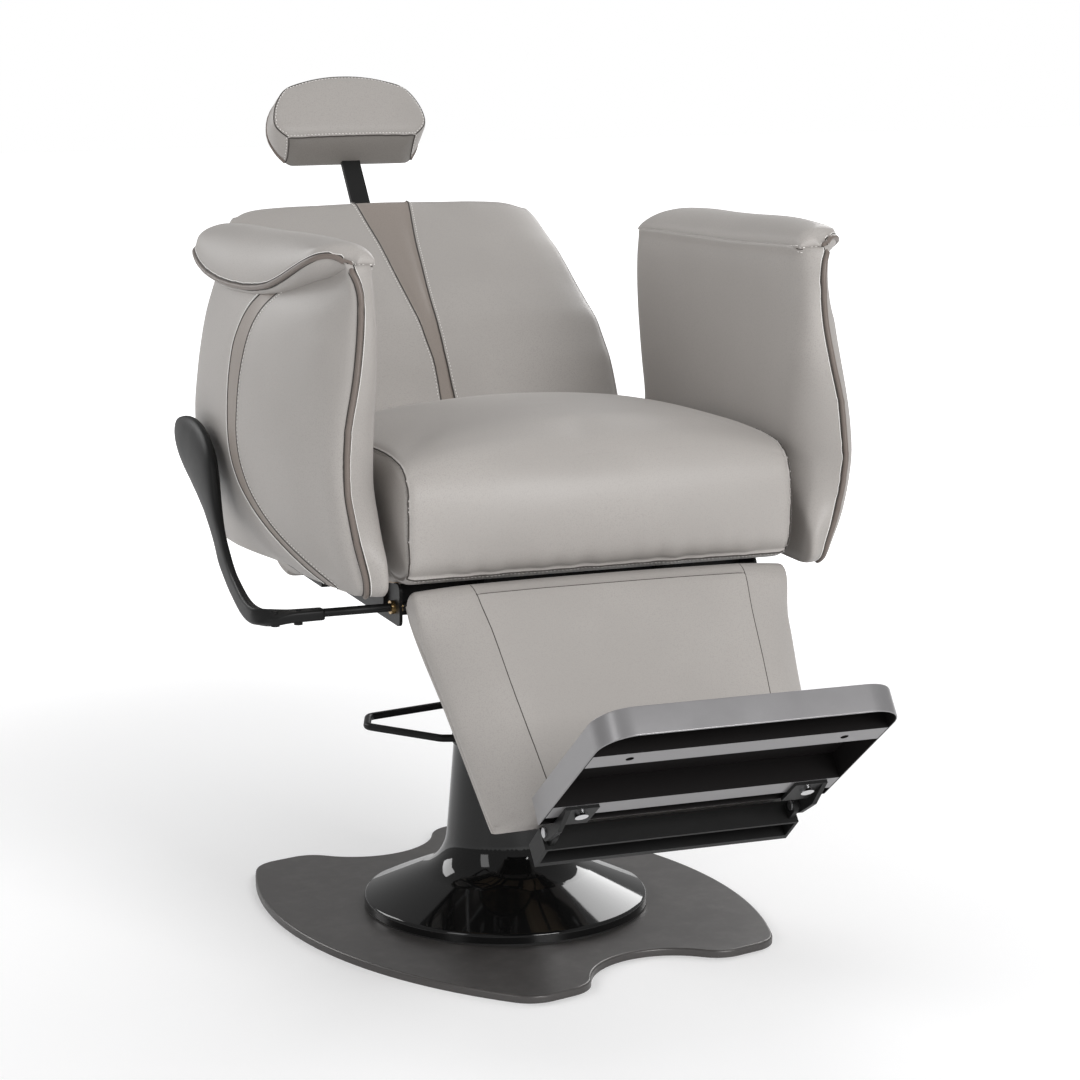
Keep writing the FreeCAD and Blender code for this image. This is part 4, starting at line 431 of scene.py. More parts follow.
def resampled(points, count):
    points = np.array(points, float)
    run = runLengths(points)
    return eased(np.column_stack([run, points]))(np.linspace(0, run[-1], count + 1))


def turned(count):
    # shares of a radius, close together where the round begins
    return [1 - math.cos(math.pi / 2 * k / count) for k in range(count + 1)]


def gridLines(low, high, roundLow, roundHigh, step, marks, count, beside=0.003):
    # lattice lines: close together on the rounded ends and beside a seam, even elsewhere
    fixed = [low + roundLow * t for t in turned(count)] + [high - roundHigh * t for t in turned(count)]
    fixed += [m + d for m in marks for d in (-beside, 0, beside)]
    fixed = sorted(set(round(v, 6) for v in fixed))
    lines = []
    for a, b in zip(fixed, fixed[1:]):
        pieces = max(1, int(round((b - a) / step)))
        lines += [a + (b - a) * k / pieces for k in range(pieces)]
    return np.array(lines + [fixed[-1]])


def nearest(lines, value):
    return int(np.argmin(np.abs(lines - value)))


class Lattice:
    # the skin of a block cut by lattice lines: unique points, outward quads, and paths along its lines
    def __init__(self, table):
        marks = table.get("marks", ((), (), ()))
        self.lines = [gridLines(*limits) for limits in zip(
            table["low"], table["high"], table["roundLow"], table["roundHigh"], table["steps"], marks, table["counts"])]
        self.top = [len(line) - 1 for line in self.lines]
        self.index, self.cells = {}, []
        nx, ny, nz = self.top
        self.faces, self.side = [], []
        for i in range(nx):
            for j in range(ny):
                self.quad("bottom", (i, j, 0), (i, j + 1, 0), (i + 1, j + 1, 0), (i + 1, j, 0))
                self.quad("top", (i, j, nz), (i + 1, j, nz), (i + 1, j + 1, nz), (i, j + 1, nz))
        for i in range(nx):
            for k in range(nz):
                self.quad("front", (i, 0, k), (i + 1, 0, k), (i + 1, 0, k + 1), (i, 0, k + 1))
                self.quad("rear", (i, ny, k), (i, ny, k + 1), (i + 1, ny, k + 1), (i + 1, ny, k))
        for j in range(ny):
            for k in range(nz):
                self.quad("left", (0, j, k), (0, j, k + 1), (0, j + 1, k + 1), (0, j + 1, k))
                self.quad("right", (nx, j, k), (nx, j + 1, k), (nx, j + 1, k + 1), (nx, j, k + 1))
        self.cells = np.array(self.cells)
        self.points = np.stack([self.lines[a][self.cells[:, a]] for a in range(3)], 1)

    def corner(self, cell):
        if cell not in self.index:
            self.index[cell] = len(self.cells)
            self.cells.append(cell)
        return self.index[cell]

    def quad(self, side, *corners):
        self.faces.append([self.corner(c) for c in corners])
        self.side.append(side)

    def at(self, axis, *numbers):
        # which points lie on these lattice lines; -1 is the last line
        return np.isin(self.cells[:, axis], [n % (self.top[axis] + 1) for n in numbers])

    def path(self, axis, start, stop, fixed):
        # vertex numbers along one lattice line
        step = 1 if stop >= start else -1
        return [self.index[(*fixed[:axis], n, *fixed[axis + 1:])] for n in range(start, stop + step, step)]


def roundedBlock(points, low, high, lowRound, highRound, power=2.0):
    # pulls a block's edges and corners in to the given radii, one per axis and end
    low, high, lowRound, highRound = (np.array(v, float) for v in (low, high, lowRound, highRound))
    core = np.clip(points, low + lowRound, high - highRound)
    over = points - core
    scale = np.where(over < 0, lowRound, highRound)
    scale = np.where(scale > 1e-9, scale, 1.0)
    share = over / scale
    far = np.abs(share).max(axis=1, keepdims=True)
    length = (np.abs(share) ** power).sum(axis=1, keepdims=True) ** (1 / power)
    share = share * far / np.where(length > 1e-9, length, 1)
    return core + share * scale


def roundedEnds(points, low, high, radius):
    # rounds only the edges around a block's two x ends
    low, high = np.array(low, float), np.array(high, float)
    core = np.clip(points, low + radius, high - radius)
    share = (points - core) / radius
    end, side = np.abs(share[:, 0]), np.abs(share[:, 1:]).max(axis=1)
    length = np.hypot(end, side)
    return core + share * (np.maximum(end, side) / np.where(length > 1e-9, length, 1))[:, None] * radius


def roundedPad(table):
    # a pad's block with its two ends rounded, and its long edges by the radii in the table
    block, low, high = Lattice(table), table["low"], table["high"]
    points = roundedEnds(block.points, low, high, table["roundLow"][0])
    points[:, 1:] = roundedBlock(points[:, 1:], low[1:], high[1:], *table["loaf"])
    return block, points, low, high


def bandFaces(first, second, around, flip=False):
    # quads between two rings of vertices, given by each ring's first number
    pairs = [(c, (c + 1) % around) for c in range(around)]
    quads = [(first + c, first + d, second + d, second + c) for c, d in pairs]
    return [quad[::-1] for quad in quads] if flip else quads


def fanFaces(first, tip, around, flip=False):
    # triangles from a ring to one vertex
    fan = [(first + c, first + (c + 1) % around, tip) for c in range(around)]
    return [triangle[::-1] for triangle in fan] if flip else fan


def meshPiece(name, points, faces, materials, regions=None):
    mesh = bpy.data.meshes.new(name)
    mesh.from_pydata([tuple(p) for p in points], [], [tuple(f) for f in faces])
    for material in materials:
        mesh.materials.append(material)
    if regions is not None:
        mesh.polygons.foreach_set("material_index", np.array(regions, np.int32))
    mesh.shade_smooth()
    mesh.update()
    return newObject(name, mesh)


def triples(items, key, count):
    found = np.zeros(count * 3)
    items.foreach_get(key, found)
    return found.reshape(-1, 3)


def coordinates(mesh):
    return triples(mesh.vertices, "co", len(mesh.vertices))


def vertexNormals(mesh):
    return triples(mesh.vertex_normals, "vector", len(mesh.vertices))


def setCoordinates(mesh, points):
    mesh.vertices.foreach_set("co", np.ascontiguousarray(points, dtype=np.float32).ravel())
    mesh.update()


def seenMesh(piece):
    # the mesh that a piece's modifiers make
    depsgraph = bpy.context.evaluated_depsgraph_get()
    return bpy.data.meshes.new_from_object(piece.evaluated_get(depsgraph), depsgraph=depsgraph)


def flat(piece):
    # one plain mesh from a piece and its modifiers
    mesh = seenMesh(piece)
    piece.modifiers.clear()
    old = piece.data
    piece.data = mesh
    bpy.data.meshes.remove(old)
    mesh.name = piece.name
    return piece


def modified(piece, name, kind, **settings):
    modifier = piece.modifiers.new(name, kind)
    for key, value in settings.items():
        setattr(modifier, key, value)
    return flat(piece)


def refine(piece):
    modified(piece, "finer", "SUBSURF", levels=1, render_levels=1)


def facing(piece):
    # turns all faces outwards
    work = bmesh.new()
    work.from_mesh(piece.data)
    bmesh.ops.recalc_face_normals(work, faces=work.faces)
    work.to_mesh(piece.data)
    work.free()


padding = {
    "pressure": 4.0, "frames": 20, "tension": 18.0, "bending": 0.8, "mass": 0.25, "quality": 4,
    "drawnIn": 0.55,         # share of the cap that a pad is drawn in before it swells
    "byRule": 0.62,
}
pads = []       # piece, cap in metres, share held at each vertex


def addPadding(piece, cap, *parts):
    # each part: a choice of vertices and the share of the swelling held back there
    pads.append((piece, cap, np.clip(sum(np.where(chosen, share, 0) for chosen, share in parts), 0, 1)))


def pushOut(share):
    for piece, cap, held in pads:
        rest, normals = coordinates(piece.data), vertexNormals(piece.data)
        setCoordinates(piece.data, rest + normals * (share * cap * (1 - held))[:, None])


def swellPads():
    pushOut(-padding["drawnIn"])
    for piece, cap, held in pads:
        sewn = piece.vertex_groups.new(name="sewn")
        for number, share in enumerate(held):
            if share > 0:
                sewn.add([number], float(share), "REPLACE")
        settings = piece.modifiers.new("padding", "CLOTH").settings
        settings.quality, settings.mass = padding["quality"], padding["mass"]
        settings.tension_stiffness = settings.compression_stiffness = padding["tension"]
        settings.shear_stiffness = padding["tension"] / 2
        settings.bending_stiffness = padding["bending"]
        settings.use_pressure = True
        settings.uniform_pressure_force = padding["pressure"]
        settings.vertex_group_mass = "sewn"
        settings.effector_weights.gravity = 0
        cache = piece.modifiers["padding"].point_cache
        cache.frame_start, cache.frame_end = 1, padding["frames"]
    for number in range(1, padding["frames"] + 1):
        scene.frame_set(number)
    depsgraph = bpy.context.evaluated_depsgraph_get()
    swollen = [coordinates(piece.evaluated_get(depsgraph).data) for piece, cap, held in pads]
    for (piece, cap, held), found in zip(pads, swollen):
        piece.modifiers.clear()
        piece.vertex_groups.clear()
        rest = coordinates(piece.data)
        moved = found - rest
        length = np.linalg.norm(moved, axis=1, keepdims=True)
        moved *= cap * np.tanh(length / cap) / np.maximum(length, 1e-9)
        setCoordinates(piece.data, rest + smoothed(piece.data, moved, 6))
    scene.frame_set(1)


def smoothed(mesh, values, rounds):
    # evens values over neighbouring vertices
    edges = np.zeros(len(mesh.edges) * 2, np.int32)
    mesh.edges.foreach_get("vertices", edges)
    a, b = edges.reshape(-1, 2).T
    count = np.bincount(np.concatenate([a, b]), minlength=len(values))[:, None]
    for _ in range(rounds):
        total = np.zeros_like(values)
        np.add.at(total, a, values[b])
        np.add.at(total, b, values[a])
        values = 0.5 * values + 0.5 * total / count
    return values


def pressSeam(piece, path, depth):
    # sinks a seam's own vertices, so that the leather rolls over on both sides
    points, normals = coordinates(piece.data), vertexNormals(piece.data)
    points[path] -= normals[path] * depth
    setCoordinates(piece.data, points)


def lean(degrees):
    # the up and rear directions of a leaning piece
    turn = math.radians(degrees)
    return (0, math.sin(turn), math.cos(turn)), (0, math.cos(turn), -math.sin(turn))


def leaned(points, table):
    # from a leaning piece's own axes (across, to the rear, up) to the chair's
    up, rear = lean(table["lean"])
    points = np.asarray(points)
    return (np.array(table["origin"]) + points[:, :1] * np.array((1.0, 0, 0)) + points[:, 1:2] * np.array(rear)
            + points[:, 2:3] * np.array(up))


def softenCorners(piece, table):
    # evens a leaned pad's two upper corners
    above, beyond, over, rounds = table["soften"]
    points = coordinates(piece.data)
    height = (points - np.array(table["origin"])) @ np.array(lean(table["lean"])[0])
    share = fade(height - above, over) * fade(np.abs(points[:, 0]) - beyond, over)
    setCoordinates(piece.data, points + (smoothed(piece.data, points, rounds) - points) * share[:, None])


def slotted(piece, table):
    # cuts the clearances for ears and links out of a leaned pad
    sides = [(0, 1, 3, 2), (4, 6, 7, 5), (0, 4, 5, 1), (2, 3, 7, 6), (0, 2, 6, 4), (1, 5, 7, 3)]
    for x0, x1, y0, y1, z0, z1 in table["slots"]:
        corners = leaned([(x, y, z) for x in (x0, x1) for y in (y0, y1) for z in (z0, z1)], table)
        box = meshPiece("slot_cutter", corners, sides, [piece.data.materials[0]])
        box.data.shade_flat()
        facing(box)
        modified(piece, "slot", "BOOLEAN", operation="DIFFERENCE", solver="EXACT", object=box)
        bpy.data.objects.remove(box)


# ---- geometry node trees: stitches and cords that follow a path


def treeEnd(tree, shape, leave, material, *kinds):
    # the last nodes of both trees, each fed by the one before
    for kind in kinds:
        shape = addNode(tree, kind, {"Geometry": shape}).outputs["Geometry"]
    painted = addNode(tree, "GeometryNodeSetMaterial", {"Geometry": shape, "Material": material})
    feed(tree, leave, {"Geometry": painted.outputs["Geometry"]})
    return tree


def makeStitchTree():
    tree, enter, leave = newGroup("stitchRun", "GeometryNodeTree", {
        "Geometry": "NodeSocketGeometry", "Pitch": 0.005, "Stitch Length": 0.0034, "Thread Radius": 0.0005,
        "Material": "NodeSocketMaterial"}, ("Geometry",))
    spots = addNode(tree, "GeometryNodeResampleCurve", {"Curve": enter["Geometry"], "Length": enter["Pitch"]},
                    mode="LENGTH").outputs["Curve"]
    tangent = tree.nodes.new("GeometryNodeInputTangent").outputs["Tangent"]
    turned = addNode(tree, "FunctionNodeAlignRotationToVector", {"Vector": tangent}, axis="Z").outputs["Rotation"]
    bead = addNode(tree, "GeometryNodeMeshIcoSphere", {"Radius": 1.0, "Subdivisions": 1}).outputs["Mesh"]
    thick, half = enter["Thread Radius"], mathNode(tree, "DIVIDE", enter["Stitch Length"], 2.0)
    size = addNode(tree, "ShaderNodeCombineXYZ", {"X": thick, "Y": thick, "Z": half}).outputs["Vector"]
    sewn = addNode(tree, "GeometryNodeInstanceOnPoints", {
        "Points": spots, "Instance": bead, "Rotation": turned, "Scale": size}).outputs["Instances"]
    return treeEnd(tree, sewn, leave, enter["Material"], "GeometryNodeRealizeInstances", "GeometryNodeSetShadeSmooth")


def makeCordTree():
    tree, enter, leave = newGroup("sewnCord", "GeometryNodeTree", {
        "Geometry": "NodeSocketGeometry", "Radius": 0.003, "Step": 0.006, "Sides": 10,
        "Material": "NodeSocketMaterial"}, ("Geometry",))
    line = addNode(tree, "GeometryNodeResampleCurve", {"Curve": enter["Geometry"], "Length": enter["Step"]},
                   mode="LENGTH").outputs["Curve"]
    ring = addNode(tree, "GeometryNodeCurvePrimitiveCircle", {
        "Resolution": enter["Sides"], "Radius": enter["Radius"]}).outputs["Curve"]
    tube = addNode(tree, "GeometryNodeCurveToMesh", {
        "Curve": line, "Profile Curve": ring, "Fill Caps": True}).outputs["Mesh"]
    return treeEnd(tree, tube, leave, enter["Material"], "GeometryNodeSetShadeSmooth", "GeometryNodeRealizeInstances")


stitchTree = makeStitchTree()
cordTree = makeCordTree()


def along(name, paths, tree, material, body, **values):
    # runs a geometry node tree along paths and keeps the result as one mesh on one body
    curve = bpy.data.curves.new(name, "CURVE")
    curve.dimensions = "3D"
    for path in paths:
        spline = curve.splines.new("POLY")
        spline.points.add(len(path) - 1)
        for point, place in zip(spline.points, path):
            point.co = (*place, 1)
    line = newObject(name + "_path", curve)
    modifier = line.modifiers.new("run", "NODES")
    modifier.node_group = tree
    for item in tree.interface.items_tree:
        if item.item_type == "SOCKET" and item.in_out == "INPUT" and item.name != "Geometry":
            modifier[item.identifier] = material if item.name == "Material" else values[item.name.replace(" ", "_")]
    mesh = seenMesh(line)
    bpy.data.objects.remove(line)
    mesh.name = name
    result = newObject(name, mesh)
    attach(result, body)


def skinOf(pieces):
    points, faces = [], []
    for piece in pieces:
        start = len(points)
        points += [v.co.copy() for v in piece.data.vertices]
        faces += [[start + n for n in face.vertices] for face in piece.data.polygons]
    return BVHTree.FromPolygons(points, faces)


def onSkin(skin, path, lift):
    # lays a path on a piece's surface, lift metres above it
    hits = [skin.find_nearest(Vector(place)) for place in path]
    return [hit[0] + hit[1] * lift for hit in hits if hit[0] is not None]


def sideways(skin, path, offset):
    # moves a path across the surface, to one side of it
    result = []
    for number, place in enumerate(path):
        before, after = path[max(0, number - 1)], path[min(len(path) - 1, number + 1)]
        hit = skin.find_nearest(Vector(place))
        across = (Vector(after) - Vector(before)).cross(hit[1]).normalized()
        result.append(Vector(place) + across * offset)
    return result


def evenPath(path, step=0.004):
    points = np.array([tuple(p) for p in path])
    run = runLengths(points)
    places = np.linspace(0, run[-1], max(2, int(run[-1] / step)))
    return np.stack([np.interp(places, run, points[:, a]) for a in range(3)], 1)


print("tools ready")

# ---- seat cushion

seat = {
    "low": (-0.255, -0.357, 0.5385), "high": (0.255, 0.104, 0.684), "steps": [0.0095] * 3, "counts": (5, 7, 6),
    "roundLow": (0.015, 0.05, 0.032), "roundHigh": (0.015, 0.034, 0.05), "swell": 0.009,
    "loaf": ((0.05, 0.032), (0.034, 0.05)),        # radii seen from the side: front and bottom, rear and top
    "crown": 0.03, "crownPower": 2.3, "sideOut": 0.01, "lipPower": 1.6, "seamHeld": 0.9,
    "nose": (0.008, -0.22, 0.13), "lip": (0.0085, -0.262, 0.03),       # how much, from this y on, over this length
    # place along the seat, height of the side edge above its middle value
    "edgeLine": [(-0.36, -0.002), (-0.314, 0.0), (-0.263, 0.004), (-0.139, 0.001), (0.049, -0.012), (0.105, -0.026)],
    # place along the seat, share of the crown
    "ends": [(-0.36, 0.55), (-0.33, 0.82), (-0.25, 1.0), (-0.05, 1.0), (0.06, 0.8), (0.105, 0.55)],
}


def makeSeat():
    p = seat
    block, points, low, high = roundedPad(p)
    x, y, z = points.T
    across = 1 - np.abs(x / high[0]) ** p["crownPower"]
    height = fade(z - low[2], high[2] - low[2])
    z = z + height * (p["crown"] * across * eased(p["ends"])(y) + eased(p["edgeLine"])(y))
    out, start, over = p["nose"]
    y = y - out * across * fade(start - y, over) * np.sin(math.pi * np.clip(height, 0, 1))
    x = x * (1 + p["sideOut"] * np.sin(math.pi * height))
    down, start, over = p["lip"]
    z = z - down * fade(start - y, over) * (1 - height) ** p["lipPower"]
    piece = meshPiece("seat_pad", np.stack([x, y, z], 1), block.faces, [paleLeather])
    nx, ny, nz = block.top
    seam = block.at(0, 0, -1) & (block.at(2, -1) | block.at(1, 0))
    addPadding(piece, p["swell"], (seam, p["seamHeld"]), (block.at(2, 0), 1.0))
    sides = [block.path(1, ny, 0, (i, 0, nz)) + block.path(2, nz - 1, 0, (i, 0, 0)) for i in (0, nx)]
    return piece, {"sides": sides, "hem": [block.path(0, 0, nx, (0, 0, 0))]}


# ---- backrest cushion

back = {
    "origin": (0, 0.175, 0.505), "lean": 40, "low": (-0.268, -0.062, -0.062), "high": (0.268, 0.0575, 0.551),
    "marks": ((-0.044, 0.044), (), ()), "steps": [0.0105] * 3, "counts": (5, 4, 7),
    "roundLow": (0.017, 0.017, 0.062), "roundHigh": (0.017, 0.017, 0.022), "swell": 0.008,
    "loaf": ((0.062 * 0.97, 0.062), (0.0575 * 0.97, 0.022)),
    "cornerRound": 0.052, "footRound": 0.012, "cornersFrom": 0.3, "cornersOver": 0.05,
    "edgeBack": 0.01, "edgePower": 4.5, "seamHeld": 0.85, "edgeHeld": 0.35, "stripeBlock": 0.044, "stripeReach": 0.125,
    "soften": (0.440, 0.13, 0.03, 16),         # above, beyond, over, rounds
    # place up the back, then the face's depth, half the width or half the stripe's width
    "frontFace": [(-0.062, 0.062), (0.0, 0.062), (0.1, 0.0645), (0.15, 0.067), (0.186, 0.0725), (0.216, 0.0765),
        (0.25, 0.074), (0.284, 0.0705), (0.324, 0.059), (0.363, 0.048), (0.402, 0.039), (0.443, 0.0295),
        (0.487, 0.0185), (0.551, 0.007)],
    "halfWidth": [(-0.062, 0.25), (0.0, 0.262), (0.12, 0.267), (0.2, 0.2685), (0.27, 0.268), (0.34, 0.2645),
        (0.42, 0.257), (0.48, 0.2475), (0.551, 0.238)],
    "stripe": [(-0.062, 0.009), (0.15, 0.009), (0.186, 0.008), (0.216, 0.008), (0.25, 0.01), (0.284, 0.0115),
        (0.324, 0.015), (0.363, 0.019), (0.402, 0.0235), (0.443, 0.028), (0.487, 0.036), (0.551, 0.048)],
    # x, y and z of each clearance for the hinge's ears and the gas spring's rod
    "slots": [(-0.168, -0.09, -0.093, 0.093, -0.093, 0.026), (0.139, 0.168, -0.093, 0.093, -0.093, 0.026)],
}


def makeBack():
    p = back
    block, points, low, high = roundedPad(p)
    half, roll, rear = high[0], -low[1], high[1]
    corner = p["cornerRound"]
    flank = roundedBlock(points[:, [0, 2]], (low[0], low[2]), (high[0], high[2]), (corner, p["footRound"]),
                         (corner, corner))
    rounding = fade(points[:, 2] - p["cornersFrom"], p["cornersOver"])[:, None]
    points[:, [0, 2]] += (flank - points[:, [0, 2]]) * rounding
    x, y, u = points.T
    wide = np.abs(x)
    depth = (eased(p["frontFace"])(u) + rear) / (roll + rear)
    forward = fade(rear - y, roll + rear)
    y = rear + (y - rear) * depth + p["edgeBack"] * forward * (wide / half) ** p["edgePower"]
    stripe, mark, reach = eased(p["stripe"])(u), p["stripeBlock"], p["stripeReach"]
    beside = stripe + (wide - mark) * (reach - stripe) / (reach - mark)
    warped = np.where(wide <= mark, wide * stripe / mark, np.where(wide < reach, beside, wide))
    x = np.sign(x) * warped * (eased(p["halfWidth"])(u) / half)
    i0, i1 = [nearest(block.lines[0], mark) for mark in p["marks"][0]]
    regions = [int(side in ("front", "top") and all(i0 <= block.cells[v][0] <= i1 for v in face))
               for side, face in zip(block.side, block.faces)]
    piece = meshPiece("back_pad", leaned(np.stack([x, y, u], 1), p), block.faces, [paleLeather, taupeLeather], regions)
    front = block.at(1, 0)
    addPadding(piece, p["swell"], (block.at(0, i0, i1) & front, p["seamHeld"]),
               (block.at(0, 0, -1) & front, p["edgeHeld"]), (block.at(1, -1), 1.0))
    bend = nearest(block.lines[2], 0.0)
    return piece, {"stripes": [block.path(2, bend, block.top[2], (i, 0, 0)) for i in (i0, i1)]}


# ---- leg rest pad

legPad = {
    "origin": (0, -0.359, 0.419), "lean": 41.5, "low": (-0.2505, -0.0895, -0.226), "high": (0.2505, -0.0275, 0.099),
    "marks": ((-0.176, 0.176), (), (0.068,)), "steps": [0.0095] * 3, "counts": (5, 4, 6),
    "roundLow": (0.01, 0.01, 0.02), "roundHigh": (0.01, 0.01, 0.037), "loaf": ((0.038, 0.02), (0.014, 0.037)),
    "swell": 0.006, "seamBlock": 0.176, "crown": 0.002, "seamHeld": 0.85,
    "fall": (0.55, 0.45, 2.2),         # the sides' drop: an even share, a curved share and the curve's power
    # place up the pad, then half the width at the seams and the edges, and how far the sides fall back
    "seamHalf": [(-0.226, 0.148), (-0.192, 0.151), (-0.129, 0.157), (-0.056, 0.164), (0.019, 0.17), (0.0605, 0.176),
        (0.099, 0.178)],
    "edgeHalf": [(-0.226, 0.2135), (-0.214, 0.215), (-0.066, 0.2325), (0.087, 0.2505), (0.099, 0.2505)],
    "drop": [(-0.226, 0.053), (0.02, 0.05), (0.065, 0.03), (0.099, 0.014)],
}


def makeLegPad():
    p = legPad
    block, points, low, high = roundedPad(p)
    x, y, a = points.T
    seam, edge = eased(p["seamHalf"])(a), eased(p["edgeHalf"])(a)
    wide, mark, thick = np.abs(x), p["seamBlock"], high[1] - low[1]
    share = fade(wide - mark, high[0] - mark)
    across = np.where(wide <= mark, wide * seam / mark, seam + (edge - seam) * share)
    forward = fade(high[1] - y, thick)
    even, curved, power = p["fall"]
    depth = 1 - eased(p["drop"])(a) * (even * share + curved * share ** power) / thick
    y = high[1] + (y - high[1]) * depth - p["crown"] * forward * (1 - fade(wide, mark) ** 2)
    piece = meshPiece("leg_pad", leaned(np.stack([np.sign(x) * across, y, a], 1), p), block.faces, [paleLeather])
    i0, i1 = [nearest(block.lines[0], mark) for mark in p["marks"][0]]
    k0 = nearest(block.lines[2], p["marks"][2][0])
    sewn = block.at(1, 0) & (block.at(0, i0, i1) | block.at(2, k0) & block.at(0, *range(i0, i1 + 1)))
    addPadding(piece, p["swell"], (sewn, p["seamHeld"]), (block.at(1, -1), 1.0))
    seams = [block.path(2, 0, block.top[2], (i, 0, 0)) for i in (i0, i1)]
    return piece, {"seams": seams + [block.path(0, i0, i1, (0, 0, k0))]}


# ---- headrest

headPad = {
    "origin": (0, 0.682255, 0.986618), "lean": 30, "low": (-0.1245, -0.043, -0.0025), "high": (0.1245, 0.0095, 0.1055),
    "roundLow": [0.016] * 3, "roundHigh": [0.016] * 3, "roundPower": 2.3, "steps": [0.0065] * 3, "counts": (4, 4, 4),
    "middle": 0.024, "swell": 0.006, "crown": 0.006, "lowNarrow": 0.255, "topDome": 0.43, "slant": 0.72,
    "slantPower": 1.3, "crownPower": 2.5, "crownUp": 0.8, "seamHeld": 0.9, "rimHeld": 0.7, "panelHeld": 0.5,
}


def makeHeadrest():
    p = headPad
    block, low, high, middle = Lattice(p), p["low"], p["high"], p["middle"]
    x, y, z = roundedBlock(block.points, low, high, p["roundLow"], p["roundHigh"], p["roundPower"]).T
    s = x / high[0]
    up = z > middle
    t = np.where(up, (z - middle) / (high[2] - middle), (middle - z) / (middle - low[2]))
    domeX, domeZ = s * np.sqrt(1 - p["topDome"] * t ** 2), t * np.sqrt(1 - p["topDome"] * s ** 2)
    x = np.where(up, domeX, s * (1 - p["lowNarrow"] * t ** 2)) * high[0]
    thick = high[1] - low[1]
    forward = fade(high[1] - y, thick)
    z = np.where(up, middle + domeZ * (high[2] - middle), z)
    z = z - p["slant"] * (1 - forward) * thick * np.where(up, 0, t ** p["slantPower"])
    crown = p["crownPower"]
    y = y - p["crown"] * forward * (1 - np.clip(np.abs(s) ** crown + np.abs(t) ** crown * p["crownUp"], 0, 1))
    # the underside gets the darker leather, a painted shade
    regions = [int(side == "bottom") for side in block.side]
    piece = meshPiece("headrest_cushion", leaned(np.stack([x, y, z], 1), p), block.faces, [paleLeather, underShadeLeather],
                      regions)
    nx, ny, nz = block.top
    ends = block.at(0, 0, -1)
    around = ends | block.at(2, -1)
    addPadding(piece, p["swell"], (block.at(2, 0) & (block.at(1, 0, -1) | ends), p["seamHeld"]),
               (block.at(1, -1) & around, p["rimHeld"]), (block.at(1, 0) & around, p["panelHeld"]))
    path = block.path
    rim = path(2, 0, nz, (0, ny, 0)) + path(0, 1, nx - 1, (0, ny, nz)) + path(2, nz, 0, (nx, ny, 0))
    seam = path(1, ny, 0, (0, 0, 0)) + path(0, 1, nx, (0, 0, 0)) + path(1, 1, ny, (nx, 0, 0))
    panel = path(2, 1, nz, (0, 0, 0)) + path(0, 1, nx - 1, (0, 0, nz)) + path(2, nz, 1, (nx, 0, 0))
    return piece, {"seam": [seam], "rim": [rim], "panel": [panel]}


# ---- arms: built on the left and mirrored

